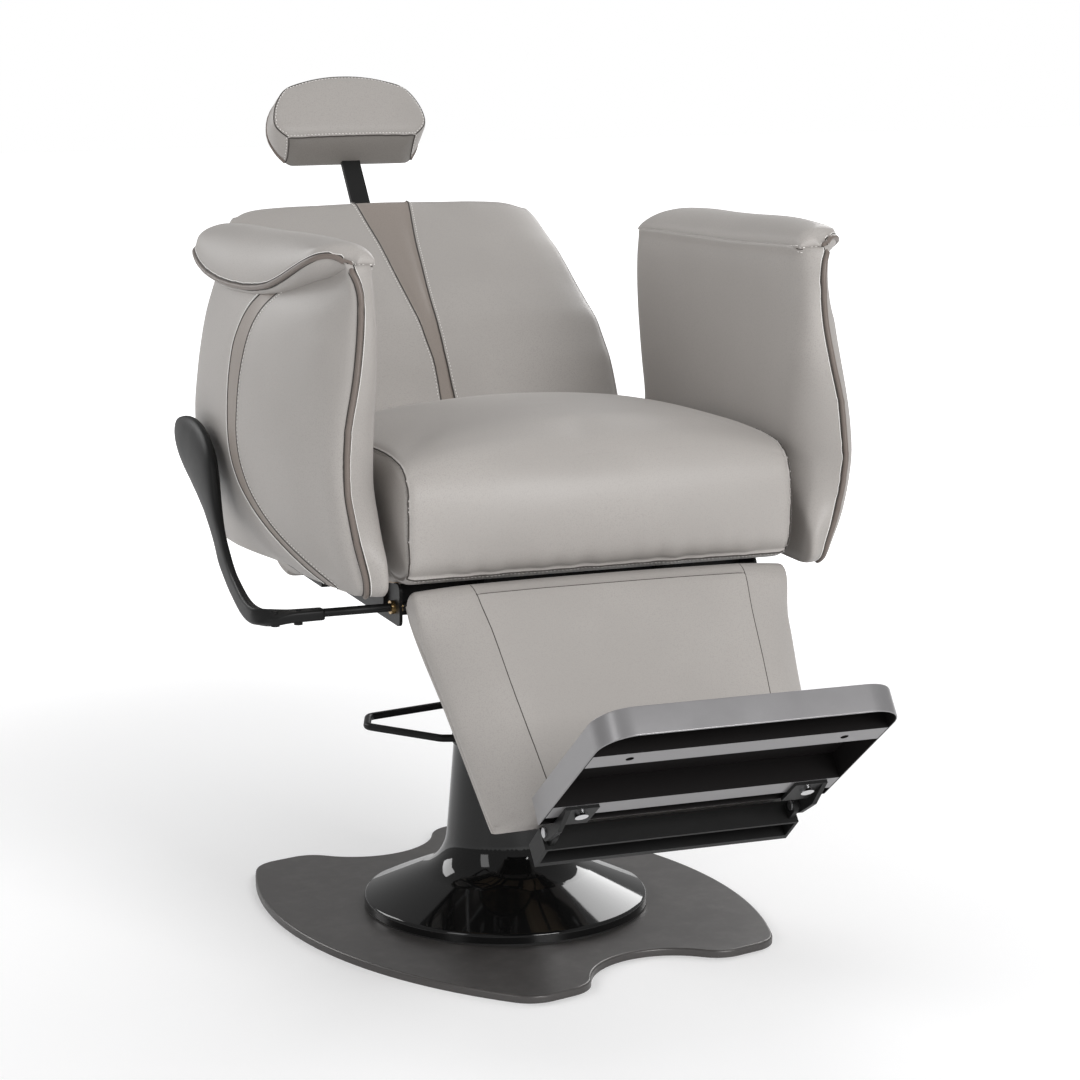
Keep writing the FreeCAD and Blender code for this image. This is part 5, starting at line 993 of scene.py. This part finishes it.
arm = {
    "inside": 0.2735, "low": 0.523, "top": 0.917, "bend": 0.72, "step": 0.0095, "swell": 0.005, "cornerRound": 0.034,
    "bottomRound": 0.016, "sections": 60, "capRings": (0.9, 0.7, 0.45, 0.2),
    "seamHeld": 0.85, "blend": 6,              # columns over which the flap's height takes over from the roll's seam
    "tuckLift": 0.015, "seamLift": 0.005,        # how far the arm goes up into the roll
    "bulgeEnd": 0.035, "arcPoints": 13, "fine": 60,
    # the rear: how far it stands out behind the inner edge, its rounded outer corner, its middle and its inner corner
    "rearOut": 0.006, "rearCorner": [(-0.01, -0.01), (-0.03, 0.001)], "rearMiddle": 0.003, "rearInner": (0.012, -0.001),
    "corner": (0.002, 0.004, 0.8),       # the corner's guide point: in, ahead, and its share of the way to the piping
    "bulge": [(0.007, 0.012), (0.022, 0.72)],      # just behind the piping: outwards in metres, then as a share
    # points round the section, run by run
    "counts": {"inner": 34, "band": 8, "outerFront": 20, "stripe": 4, "outerRear": 22, "rear": 10},
    # height, inner front edge y
    "innerFront": [(0.523, -0.366), (0.543, -0.372), (0.565, -0.37), (0.59, -0.35), (0.616, -0.334), (0.659, -0.316),
        (0.694, -0.318), (0.741, -0.323), (0.788, -0.331), (0.834, -0.332), (0.884, -0.322), (0.917, -0.312)],
    # height, front piping x, y
    "piping": [(0.523, 0.299, -0.345), (0.546, 0.304, -0.348), (0.581, 0.314, -0.353), (0.623, 0.322, -0.355),
        (0.658, 0.327, -0.354), (0.691, 0.326, -0.35), (0.725, 0.323, -0.347), (0.78, 0.312, -0.342),
        (0.835, 0.304, -0.335), (0.884, 0.301, -0.333), (0.917, 0.306, -0.324)],
    # height, inner rear edge y
    "innerRear": [(0.523, 0.182), (0.659, 0.184), (0.717, 0.196), (0.758, 0.204), (0.8, 0.21), (0.835, 0.212),
        (0.861, 0.211), (0.884, 0.207), (0.917, 0.198)],
    # outer face: x at these places along the arm, for each height
    "places": [-0.3, -0.24, -0.18, -0.12, -0.06, 0.0, 0.06, 0.12, 0.17],
    "outer": [(0.523, 0.318, 0.331, 0.341, 0.346, 0.349, 0.358, 0.364, 0.364, 0.356),
        (0.545, 0.331, 0.346, 0.355, 0.36, 0.363, 0.369, 0.373, 0.372, 0.364),
        (0.58, 0.343, 0.359, 0.368, 0.373, 0.377, 0.38, 0.381, 0.379, 0.37),
        (0.63, 0.352, 0.368, 0.377, 0.383, 0.387, 0.388, 0.387, 0.384, 0.376),
        (0.68, 0.356, 0.372, 0.382, 0.388, 0.391, 0.391, 0.39, 0.386, 0.378),
        (0.74, 0.35, 0.366, 0.378, 0.385, 0.388, 0.388, 0.386, 0.381, 0.372),
        (0.8, 0.34, 0.356, 0.369, 0.377, 0.381, 0.381, 0.378, 0.372, 0.361),
        (0.85, 0.33, 0.346, 0.359, 0.367, 0.371, 0.371, 0.367, 0.359, 0.346),
        (0.884, 0.321, 0.333, 0.347, 0.357, 0.361, 0.361, 0.356, 0.348, 0.335),
        (0.917, 0.313, 0.322, 0.336, 0.348, 0.354, 0.354, 0.349, 0.34, 0.327)],
    # height, stripe's front edge y, stripe's rear edge y
    "stripe": [(0.523, -0.292, -0.262), (0.55, -0.246, -0.214), (0.57, -0.202, -0.17), (0.59, -0.16, -0.126),
        (0.605, -0.136, -0.102), (0.63, -0.108, -0.073), (0.66, -0.092, -0.055), (0.7, -0.085, -0.047),
        (0.75, -0.087, -0.044), (0.79, -0.093, -0.047), (0.823, -0.104, -0.062), (0.851, -0.127, -0.087),
        (0.884, -0.178, -0.142), (0.917, -0.236, -0.205)],
    # the seam where the top roll is sewn on: place along the arm, height
    "rollSeam": [(-0.33, 0.9165), (-0.295, 0.916), (-0.198, 0.911), (-0.13, 0.907), (-0.049, 0.904), (0.049, 0.901),
        (0.137, 0.898), (0.215, 0.894)],
}


def armRing(z):
    # the arm's level section as six runs of points, counter-clockwise from the rear of its inner face
    p, n = arm, arm["counts"]
    inside, turn, last = p["inside"], p["cornerRound"], p["places"][-1]
    innerFront, innerRear = [float(eased(p[key])(z)[0]) for key in ("innerFront", "innerRear")]
    (pipeX, pipeY), widths, (stripeFront, stripeRear) = [eased(p[key])(z)[0] for key in ("piping", "outer", "stripe")]
    (y0, out), (y1, share) = p["bulge"]
    outer = [(pipeY, pipeX), (pipeY + y0, pipeX + out), (pipeY + y1, pipeX + (widths[0] - pipeX) * share)]
    outer += [(y, w) for y, w in zip(p["places"], widths) if y > pipeY + p["bulgeEnd"]]
    outerX = eased(outer)

    def side(fromY, toY, count):
        ys = np.linspace(fromY, toY, count + 1)
        return np.column_stack([outerX(ys), ys])

    inward, ahead, share = p["corner"]
    corner = np.array([inside - inward, innerFront - ahead])
    start, end = np.array([inside, innerFront + turn]), corner + (np.array([pipeX, pipeY]) - corner) * share
    t = np.linspace(0, 1, p["arcPoints"])[:, None]
    arc = (1 - t) ** 2 * start + 2 * t * (1 - t) * corner + t ** 2 * end
    ys = np.linspace(innerRear, innerFront + turn, n["inner"] + 1)
    rearY, cornerX = innerRear + p["rearOut"], float(outerX(last)[0])
    inX, inY = p["rearInner"]
    rear = [(cornerX, last)] + [(cornerX + dx, rearY + dy) for dx, dy in p["rearCorner"]]
    rear += [((cornerX + inside) / 2, rearY + p["rearMiddle"]), (inside + inX, rearY + inY), (inside, innerRear)]
    return [np.column_stack([np.full(len(ys), inside), ys]),
            resampled(np.concatenate([arc, [[pipeX, pipeY]]]), n["band"]),
            resampled(side(pipeY, stripeFront, p["fine"]), n["outerFront"]), side(stripeFront, stripeRear, n["stripe"]),
            side(stripeRear, last, n["outerRear"]), resampled(rear, n["rear"])]


def makeArm():
    p = arm
    levels = [p["low"] + p["bottomRound"] * t for t in turned(4)]
    count = int((p["top"] - levels[-1]) / p["step"])
    levels += list(np.linspace(levels[-1], p["top"], count + 1)[1:])
    starts = np.concatenate([[0], np.cumsum(list(p["counts"].values()))])
    around = int(starts[-1])
    # sections on a fine ladder of heights, then each column is drawn up to where the roll covers it
    ladder = np.linspace(p["low"], p["top"], p["sections"])
    sections = np.array([np.concatenate([run[:-1] for run in armRing(z)]) for z in ladder])
    topY = sections[-4, :, 1]
    columns = np.arange(around)
    tuck = eased([(row[0], row[8] + p["tuckLift"]) for row in wing["stations"]])(topY)
    seam, blend = eased(p["rollSeam"])(topY) + p["seamLift"], p["blend"]
    limit = seam + (tuck - seam) * fade(columns - starts[2], blend) * fade(starts[5] + blend - columns, blend)
    rings = []
    for z in levels:
        share = fade(z - p["bend"], p["top"] - p["bend"])
        heights = np.where(z < p["bend"], z, p["bend"] + (limit - p["bend"]) * share)
        ring = np.array([[np.interp(heights[c], ladder, sections[:, c, a]) for a in (0, 1)] for c in range(around)])
        drop = max(0.0, 1 - (z - p["low"]) / p["bottomRound"])
        inset = p["bottomRound"] * (1 - math.sqrt(max(0.0, 1 - drop ** 2)))
        if inset > 0:
            middle = ring.mean(axis=0)
            away = ring - middle
            length = np.linalg.norm(away, axis=1, keepdims=True)
            ring = middle + away * np.maximum(0.2, 1 - inset / length)
            ring[:, 0] = np.maximum(ring[:, 0], p["inside"])
        rings.append(np.column_stack([ring, heights]))
    total = len(rings)
    faces = sum([bandFaces(r * around, (r + 1) * around, around) for r in range(total - 1)], [])
    regions = [int(starts[3] <= c < starts[4]) for c in columns] * (total - 1)
    points = np.concatenate(rings)
    # flat underside and top: rings that shrink to a short middle line
    for ring, flip in ((0, True), (total - 1, False)):
        outline, previous = rings[ring], ring * around
        centre = outline.mean(axis=0)
        for share in p["capRings"]:
            faces += bandFaces(previous, len(points), around, flip)
            previous = len(points)
            points = np.concatenate([points, centre + (outline - centre) * share])
        faces += fanFaces(previous, len(points), around, flip)
        points = np.concatenate([points, centre[None]])
    regions += [0] * (len(faces) - len(regions))
    piece = meshPiece("arm_pad_left", points, faces, [paleLeather, taupeLeather], regions)
    runs = {name: [[r * around + int(starts[number]) for r in range(total)]]
            for name, number in (("piping", 2), ("stripeFront", 3), ("stripeRear", 4))}
    number = np.arange(len(points))
    ends = (number < around) | (number >= (total - 1) * around)
    addPadding(piece, p["swell"], (np.isin(number, [run for (run,) in runs.values()]), p["seamHeld"]), (ends, 1.0))
    return piece, runs


wing = {
    "low": (0, -0.3225, 0), "high": (1, 0.214, 1), "steps": (0.062, 0.0085, 0.3), "counts": (4, 5, 3),
    "roundLow": (0.05, 0.022, 0.35), "roundHigh": (0.1, 0.034, 0.35), "skinRound": 0.4, "swell": 0.004, "lipHeld": 0.8,
    "slant": (0.01, -0.27, 0.06),        # how much the inner front edge goes back, from this y on, over this length
    # the section from the inner seam to the ridge, and from the ridge to the lip, as shares of width and height
    "rise": [(0, 0), (0.02, 0.32), (0.24, 0.68), (0.6, 0.91)], "roll": [(0, 0), (0.48, 0.16), (0.84, 0.52)],
    # place along the arm: inner seam z, ridge x, ridge z, lip x, lip z, underside's height below the lip, tuck x and z
    "stations": [(-0.331, 0.9185, 0.288, 0.929, 0.299, 0.918, 0.002, 0.297, 0.914),
        (-0.317, 0.918, 0.295, 0.9395, 0.306, 0.922, 0.003, 0.3025, 0.914),
        (-0.305, 0.9175, 0.302, 0.9445, 0.32, 0.932, 0.005, 0.307, 0.913),
        (-0.295, 0.917, 0.307, 0.9465, 0.334, 0.9365, 0.009, 0.312, 0.911),
        (-0.272, 0.9152, 0.314, 0.948, 0.349, 0.93, 0.013, 0.32, 0.902),
        (-0.23, 0.9125, 0.322, 0.9485, 0.356, 0.915, 0.014, 0.332, 0.89),
        (-0.2, 0.9112, 0.327, 0.948, 0.361, 0.903, 0.014, 0.339, 0.88),
        (-0.15, 0.908, 0.332, 0.946, 0.368, 0.8875, 0.013, 0.348, 0.87),
        (-0.07, 0.905, 0.335, 0.9415, 0.375, 0.878, 0.012, 0.356, 0.862),
        (0.0, 0.9025, 0.3365, 0.9385, 0.379, 0.8765, 0.012, 0.36, 0.86),
        (0.07, 0.9005, 0.337, 0.9365, 0.38, 0.88, 0.012, 0.361, 0.864),
        (0.12, 0.899, 0.335, 0.934, 0.379, 0.8885, 0.013, 0.359, 0.87),
        (0.165, 0.897, 0.331, 0.9305, 0.374, 0.9, 0.015, 0.35, 0.878),
        (0.214, 0.894, 0.324, 0.922, 0.356, 0.906, 0.015, 0.336, 0.884)],
}


def wingSection(seamZ, ridgeX, ridgeZ, lipX, lipZ, under, tuckX, tuckZ):
    # the roll's cross-section: over the top from the inner seam to the lip, and back below it
    inside = arm["inside"]
    rise, reach, run, fall = ridgeZ - seamZ, ridgeX - inside, lipX - ridgeX, ridgeZ - lipZ
    top = [(inside + a * reach, seamZ + b * rise) for a, b in wing["rise"]]
    top += [(ridgeX + a * run, ridgeZ - b * fall) for a, b in wing["roll"]] + [(lipX, lipZ)]
    below = [(inside + 0.004, seamZ - 0.001), ((inside + tuckX) / 2, min(seamZ, tuckZ) - 0.001), (tuckX, tuckZ),
             ((tuckX + lipX) / 2, (tuckZ + lipZ - under) / 2 - 0.002), (lipX - 0.001, lipZ - under)]
    return smoothRun(top), smoothRun(below)


def makeWing():
    # the pad on top of the arm: it rises from the front band, crowns, and rolls out over the side
    p = wing
    block = Lattice(p)
    across, y, level = roundedBlock(block.points, p["low"], p["high"], (*p["roundLow"][:2], p["skinRound"]),
                                    (*p["roundHigh"][:2], p["skinRound"])).T
    placed = []
    for n, row in enumerate(eased(p["stations"])(y)):
        high, low = [line(across[n])[0] for line in wingSection(*row)]
        x, z = low + (high - low) * level[n]
        placed.append((x, y[n], z))
    placed = np.array(placed)
    aside, start, over = p["slant"]
    placed[:, 1] += aside * (1 - across) * fade(start - y, over)
    piece = meshPiece("arm_wing_pad_left", placed, block.faces, [paleLeather])
    nx, ny, nz = block.top
    middle = nz // 2
    addPadding(piece, p["swell"], (block.at(0, -1) & block.at(2, middle), p["lipHeld"]), (block.at(2, 0), 1.0),
               (block.at(0, 0) & block.at(2, *range(middle + 1)), p["lipHeld"]))
    front = nearest(block.lines[1], p["low"][1] + 0.012)
    return piece, {"lip": [block.path(1, front, ny, (nx, 0, middle))],
                   "seam": [block.path(1, ny, 0, (0, 0, 0)) + block.path(0, 1, nx - 1, (0, 0, 0))]}


soft = {"seat": makeSeat(), "back": makeBack(), "leg": makeLegPad(), "head": makeHeadrest(), "arm": makeArm(),
        "wing": makeWing()}
seatPad, backPad, legPiece, headPiece, armLeft, wingLeft = [piece for piece, runs in soft.values()]
print("soft shapes ready")
swellPads()
print("pads swollen")

# how deep each seam is pressed in, and the small gathers along the seat's lower front edge
seamDepths = {"seat": {"sides": 0.0012, "hem": 0.0012}, "back": {"stripes": 0.0016}, "leg": {"seams": 0.0015},
              "arm": {"piping": 0.0015, "stripeFront": 0.0015, "stripeRear": 0.0015},
              "head": {"seam": 0.0015, "rim": 0.0015, "panel": 0.0010}, "wing": {"lip": 0.0015}}
pucker = {"depth": 0.0010, "waves": 50.0, "reach": 0.011, "front": -0.30, "over": 0.03, "below": 0.002,
          "sines": ((2.1, 0.8), (0.63, 1.9), (3.7, 40, 0.6))}


def runPoints(piece, runs):
    points = coordinates(piece.data)
    return [[Vector(points[n]) for n in run] for run in runs]


def mirroredPiece(piece, name):
    # a mirrored copy with its faces turned the right way round
    mesh = piece.data.copy()
    mesh.name = name
    points = coordinates(mesh)
    points[:, 0] *= -1
    setCoordinates(mesh, points)
    mesh.flip_normals()
    return newObject(name, mesh)


def puckerSeat():
    # the leather gathers a little above the seam along the seat's lower front edge
    points, normals = coordinates(seatPad.data), vertexNormals(seatPad.data)
    x, y, z = points.T
    over, w = pucker["over"], pucker["waves"]
    rise = np.clip((z - seat["low"][2] + pucker["below"]) / pucker["reach"], 0, 9)
    share = rise * np.exp(1 - rise) * fade(pucker["front"] - y, over) * fade(seat["high"][0] - over - np.abs(x), over)
    (a, b), (c, d), (e, f, small) = pucker["sines"]
    wave = np.sin(x * w * a + b) * np.sin(x * w * c + d) + small * np.sin(x * w * e + z * f)
    setCoordinates(seatPad.data, points + normals * (pucker["depth"] * share * wave)[:, None])


softenCorners(backPad, back)
# the sewing's paths, as they lie before the seams are pressed in
paths = {key: {name: runPoints(piece, found) for name, found in runs.items()} for key, (piece, runs) in soft.items()}
for key, depths in seamDepths.items():
    piece, runs = soft[key]
    for name, depth in depths.items():
        for run in runs[name]:
            pressSeam(piece, run, depth)
for piece, runs in soft.values():
    refine(piece)
slotted(backPad, back)
puckerSeat()
armRight = mirroredPiece(armLeft, "arm_pad_right")
wingRight = mirroredPiece(wingLeft, "arm_wing_pad_right")

softPieces = [
    (seatPad, "seat", ["seat_cushion"], 0.7),
    (backPad, "backrest", ["back_cushion"], 0.7),
    (legPiece, "leg_rest", ["leg_rest_pad"], 0.8),
    (headPiece, "headrest", ["headrest_pad"], 0.75),
    (armLeft, "seat", ["arm_body_left"], 0.8),
    (armRight, "seat", ["arm_body_right"], 0.8),
    (wingLeft, "seat", ["arm_wing_left"], 0.8),
    (wingRight, "seat", ["arm_wing_right"], 0.8),
]
for piece, body, replaced, fill in softPieces:
    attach(piece, body)
    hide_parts(*replaced)
print("soft pieces ready")

# ---- the lever, drawn anew, and pieces carried over from the construction with broken edges

lever = {
    "along": (0.84, 0.54), "middle": -0.4100, "shift": (0.0022, 0.215, 0.08), "around": 24, "blade": 0.165,
    "ends": (-0.029, 0.481), "sections": [(-0.029, 0.110, 34), (0.118, 0.462, 44)], "tip": (0.019, 7),
    "reach": 0.002,          # how far ahead and behind the bar's direction is read
    # how round the section is, and what the blade and the grip add to it: how much, from where, over what length
    "round": (0.42, (0.13, 0.05, 0.1), (0.3, 0.2, 0.1)),
    # place along the lever, then the foot's centre, its wide side's direction, half its width and its thickness
    "foot": [(-0.029, -0.33, -0.256, 0.49, 0.0, 1.0, 0.0, 0.01, 0.007),
        (0.012, -0.371, -0.256, 0.49, 0.0, 1.0, 0.1, 0.01, 0.007),
        (0.028, -0.387, -0.255, 0.4896, 0.25, 0.85, 0.45, 0.01, 0.0069),
        (0.045, -0.4015, -0.2465, 0.4888, 0.35, 0.35, 0.87, 0.0102, 0.0067),
        (0.065, -0.4085, -0.23, 0.4885, 0.05, 0.0, 1.0, 0.0108, 0.0064),
        (0.085, -0.4098, -0.211, 0.4892, 0.0, -0.08, 1.0, 0.0116, 0.0061),
        (0.105, -0.41, -0.1915, 0.4918, 0.0, -0.2, 0.98, 0.0122, 0.0059),
        (0.126, -0.41, -0.1706, 0.4972, 0.0, -0.33, 0.94, 0.0128, 0.0057),
        (0.145, -0.41, -0.1519, 0.504, 0.0, -0.45, 0.89, 0.0132, 0.0055)],
    # place along the lever, lower edge, upper edge, half the thickness
    "grip": [(0.165, 0.489, 0.5165, 0.0054), (0.19, 0.4865, 0.517, 0.0055), (0.215, 0.485, 0.521, 0.0058),
        (0.24, 0.489, 0.526, 0.0062), (0.262, 0.4915, 0.535, 0.0074), (0.285, 0.491, 0.549, 0.0088),
        (0.305, 0.49, 0.565, 0.01), (0.33, 0.487, 0.577, 0.011), (0.36, 0.482, 0.5765, 0.0114),
        (0.39, 0.476, 0.568, 0.0112), (0.415, 0.471, 0.5555, 0.0106), (0.44, 0.4685, 0.538, 0.0094),
        (0.46, 0.47, 0.52, 0.0074), (0.474, 0.475, 0.505, 0.0048), (0.481, 0.482, 0.494, 0.0022)],
}
metal = {
    "trayBevel": 0.0016, "railBevel": 0.0009, "segments": 2, "smooth": 35,
    "hollowDepth": 0.002, "railsFace": (0, -0.6004, -0.7997), "flush": 0.5, "outward": 0.9,
    "merge": 0.00002, "flatAngle": 0.8,        # vertices this near are one, and faces this level, in degrees
    "cloth": 0.0007, "clothGap": 0.0004, "wrapInset": 0.0055, "wrapTurn": 0.012, "wrapRadius": 0.01, "wrapStep": 0.006,
    "wrapSides": 12,
}


def cleanCopy(name, title):
    # one merged mesh in the chair's own axes, with its flat faces made whole
    mesh = nodes[name].data.copy()
    mesh.transform(nodes[name].matrix_world)
    mesh.name = title
    work = bmesh.new()
    work.from_mesh(mesh)
    bmesh.ops.remove_doubles(work, verts=work.verts, dist=metal["merge"])
    bmesh.ops.dissolve_limit(work, angle_limit=math.radians(metal["flatAngle"]), verts=work.verts, edges=work.edges)
    work.to_mesh(mesh)
    work.free()
    return newObject(title, mesh)


def broken(piece, width):
    # a small bevel on the sharp edges
    modifier = piece.modifiers.new("edges", "BEVEL")
    modifier.width, modifier.segments = width, metal["segments"]
    modifier.limit_method = "ANGLE"
    modifier.angle_limit = math.radians(metal["smooth"])
    piece.data.shade_smooth()
    return modified(piece, "flatFaces", "WEIGHTED_NORMAL", keep_sharp=True)


def carried(piece, body, slot, *replaced):
    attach(piece, body)
    if replaced:
        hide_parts(*replaced)


def makeLever():
    # one bar: its foot turns from the shaft into the flat blade, which ends in the grip
    p, n = lever, lever["around"]
    f, g = p["along"]
    first, last = p["ends"]
    shift, start, over = p["shift"]
    rows = list(p["foot"])
    for a, low, high, thick in p["grip"]:
        level = (low + high) / 2
        x = p["middle"] + shift * fade(a - start, over)
        rows.append((a, x, f * a - g * level, g * a + f * level, 0, -g, f, (high - low) / 2, thick))
    line = eased(rows)
    length, count = p["tip"]
    tip = last - length * (1 - np.sin(np.linspace(0.25, 1, count) * math.pi / 2))
    points, reach = [], p["reach"]
    for a in np.concatenate([np.linspace(*section) for section in p["sections"]] + [tip]):
        values, ahead, behind = [line(place)[0] for place in (a, min(a + reach, last), max(a - reach, first))]
        tangent = (ahead[:3] - behind[:3]) / np.linalg.norm(ahead[:3] - behind[:3])
        wide = values[3:6] - tangent * (values[3:6] @ tangent)
        wide /= np.linalg.norm(wide)
        thin = np.cross(tangent, wide)
        if a >= p["blade"]:
            wide, thin = np.array((0, -g, f)), np.array((1.0, 0, 0))
        fill, *added = p["round"]
        for more, place, length in added:
            fill += more * fade(a - place, length)
        for turn in [2 * math.pi * k / n for k in range(n)]:
            c, s = [math.copysign(abs(v) ** fill, v) for v in (math.cos(turn), math.sin(turn))]
            points.append(tuple(values[:3] + wide * values[6] * c + thin * values[7] * s))
    end = len(points) - n
    faces = sum([bandFaces(r, r + n, n) for r in range(0, end, n)], [])
    for ring, flip in ((0, True), (end, False)):
        faces += fanFaces(ring, len(points), n, flip)
        points.append(tuple(np.mean(points[ring:ring + n], axis=0)))
    bar = meshPiece("lever_grip", points, faces, [finishes["black_steel"]])
    facing(bar)
    refine(bar)
    carried(bar, "lever", "black_steel", "lever_handle")


def shadeInHollow(piece, node, bevel, inHollow):
    # gunmetal outside, and near-black painted shade in its hollow
    broken(piece, bevel)
    repaint(piece, finishes["footrest_paint"], finishes["hollow_paint"])
    for face in piece.data.polygons:
        face.material_index = int(inHollow(face))
    carried(piece, "footrest", "footrest_paint", node)


def makeFootrest():
    tray = cleanCopy("footrest_pan", "footrest_tray")
    points = coordinates(tray.data)
    middle = Vector((points.min(axis=0) + points.max(axis=0)) / 2)
    shadeInHollow(tray, "footrest_pan", metal["trayBevel"],
             lambda face: face.normal.dot(middle - face.center) > metal["hollowDepth"])
    # the cross rails are gunmetal only where they lie flush, with painted shade on their other faces
    down = Vector(metal["railsFace"])
    shadeInHollow(cleanCopy("footrest_bars", "footrest_rails"), "footrest_bars", metal["railBevel"],
             lambda face: face.normal.dot(down) <= metal["flush"])


def makeLining(title, node, body, toward):
    # black cloth stapled over a board's outer face
    cloth = cleanCopy(node, title)
    work = bmesh.new()
    work.from_mesh(cloth.data)
    way = Vector(toward)
    inner = [face for face in work.faces if face.normal.dot(way) < metal["outward"]]
    bmesh.ops.delete(work, geom=inner, context="FACES")
    for vertex in work.verts:
        vertex.co += way * metal["clothGap"]
    work.to_mesh(cloth.data)
    work.free()
    modified(cloth, "thick", "SOLIDIFY", thickness=metal["cloth"], offset=1)
    repaint(cloth, liningCloth)
    carried(cloth, body, "upholstery")


def makeBoardWrap():
    # the leather drawn round the seat board's edge
    low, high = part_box("seat_board")
    inset, turn = metal["wrapInset"], metal["wrapTurn"]
    level, x = (low[2] + high[2]) / 2, high[0] - inset - turn
    front, rear = low[1] + inset + turn, high[1] - inset - turn
    path = []
    for cx, cy, first in ((x, front, -90), (x, rear, 0), (-x, rear, 90), (-x, front, 180)):
        for angle in [math.radians(first + d) for d in range(0, 91, 15)]:
            path.append(Vector((cx + turn * math.cos(angle), cy + turn * math.sin(angle), level)))
    along("seat_board_wrap", [path + path[:2]], cordTree, paleLeather, "seat", Radius=metal["wrapRadius"],
          Step=metal["wrapStep"], Sides=metal["wrapSides"])


makeLever()
makeFootrest()
makeBoardWrap()
makeLining("back_lining", "back_board", "backrest", lean(back["lean"])[1])
makeLining("leg_rest_lining", "leg_rest_board", "leg_rest", lean(legPad["lean"])[1])
print("metal ready")

# ---- piping, seams and stitches

sewing = {
    "seamStep": 0.005, "seamSides": 8,
    # heights above the leather
    "sunk": -0.0004, "headLift": 0.0006, "pipingLift": 0.0012, "lineLift": 0.0003, "edgeLift": 0.0002,
    "pitch": 0.0052, "stitch": 0.0037, "thread": 0.00062, "stitchLift": 0.0003,
    # radii
    "seam": 0.0012, "seatSeam": 0.0010, "legSeam": 0.0007, "headSeam": 0.0011, "headPiping": 0.0024,
    "piping": 0.0034, "shadow": 0.0011, "edge": 0.0006, "stripePiping": 0.0009, "rollSeam": 0.0009,
    # how far stitches and shadows lie beside a seam
    "beside": 0.004, "besideStripe": 0.0042, "besideArmStripe": 0.0045, "shadowAside": 0.0037, "edgeAside": 0.0054,
    "stripePipingAside": 0.0026,
    "pipingTop": 0.893, "lipFront": -0.313,        # the arm's piping ends below this z, its lip behind this y
}


def seamLine(name, pieces, lines, body, radius, material=seamShadow, lift=sewing["sunk"]):
    skin = skinOf(pieces)
    laid = [onSkin(skin, evenPath(path), lift) for path in lines]
    along(name, laid, cordTree, material, body, Radius=radius, Step=sewing["seamStep"], Sides=sewing["seamSides"])


def besidePath(skin, path, offset):
    return sideways(skin, onSkin(skin, evenPath(path), 0), offset)


def stitchLine(name, pieces, lines, offsets, body, thread=paleThreadAndHighlight):
    skin = skinOf(pieces)
    laid = [onSkin(skin, besidePath(skin, path, offset), sewing["stitchLift"]) for path in lines for offset in offsets]
    along(name, laid, stitchTree, thread, body, Pitch=sewing["pitch"], Stitch_Length=sewing["stitch"],
          Thread_Radius=sewing["thread"])


def joined(first, second, rounds=10):
    # one smooth path from two that meet
    path = evenPath(list(first) + list(second), 0.005)
    for _ in range(rounds):
        path[1:-1] = path[1:-1] * 0.5 + (path[:-2] + path[2:]) * 0.25
    return [Vector(p) for p in path]


def handed(found, hand):
    # the left arm's paths, or their mirror images
    return {name: [Vector((p[0] * hand, p[1], p[2])) for p in path] for name, (path,) in found.items()}


def sewPads():
    s = sewing
    beside, stripeBeside = s["beside"], s["besideStripe"]
    seatSeams, head = paths["seat"]["sides"] + paths["seat"]["hem"], paths["head"]
    stripes = paths["back"]["stripes"]
    seamLine("seat_side_seams", [seatPad], seatSeams, "seat", s["seatSeam"])
    stitchLine("seat_stitches", [seatPad], seatSeams, (beside,), "seat", greyThread)
    seamLine("back_stripe_seams", [backPad], stripes, "backrest", s["seam"])
    stitchLine("back_stitches_left", [backPad], stripes[:1], (-stripeBeside,), "backrest")
    stitchLine("back_stitches_right", [backPad], stripes[1:], (stripeBeside,), "backrest")
    seamLine("leg_pad_seams", [legPiece], paths["leg"]["seams"], "leg_rest", s["legSeam"])
    seamLine("headrest_seam", [headPiece], head["seam"] + head["panel"], "headrest", s["headSeam"])
    stitchLine("headrest_panel_stitches", [headPiece], head["panel"], (beside,), "headrest")
    seamLine("headrest_piping", [headPiece], head["rim"], "headrest", s["headPiping"], pipingLeather, s["headLift"])
    stitchLine("headrest_stitches", [headPiece], head["seam"], (-beside,), "headrest")


def sewArm(side, hand, body, flap):
    s, both, pad = sewing, [body, flap], [body]
    low, top = handed(paths["arm"], hand), handed(paths["wing"], hand)
    piping = joined([p for p in low["piping"] if p[2] < s["pipingTop"]],
                    [p for p in top["lip"] if p[1] > s["lipFront"]])
    skin, padSkin = skinOf(both), skinOf(pad)
    shadows = [besidePath(skin, piping, offset) for offset in (-s["shadowAside"], s["shadowAside"])]
    # a thin pale line beside the piping: a painted highlight
    edge = besidePath(skin, piping, hand * -s["edgeAside"])
    stripe = besidePath(padSkin, low["stripeRear"], hand * s["stripePipingAside"])
    seamLine("arm_piping_" + side, both, [piping], "seat", s["piping"], pipingLeather, s["pipingLift"])
    seamLine("arm_piping_shadow_" + side, both, shadows, "seat", s["shadow"], seamShadow, s["lineLift"])
    seamLine("arm_piping_edge_" + side, both, [edge], "seat", s["edge"], paleThreadAndHighlight, s["edgeLift"])
    seamLine("arm_stripe_seams_" + side, pad, [low["stripeFront"], low["stripeRear"]], "seat", s["seam"])
    seamLine("arm_stripe_piping_" + side, pad, [stripe], "seat", s["stripePiping"], paleThreadAndHighlight, s["lineLift"])
    stitchLine("arm_stitches_" + side, pad, [low["stripeFront"]], (hand * -s["besideArmStripe"],), "seat")
    seamLine("arm_roll_seam_" + side, both, [top["seam"]], "seat", s["rollSeam"])
    stitchLine("arm_roll_stitches_" + side, both, [top["seam"]], (-s["besideStripe"], s["besideStripe"]), "seat")


sewPads()
sewArm("left", 1, armLeft, wingLeft)
sewArm("right", -1, armRight, wingRight)
print("sewing ready")
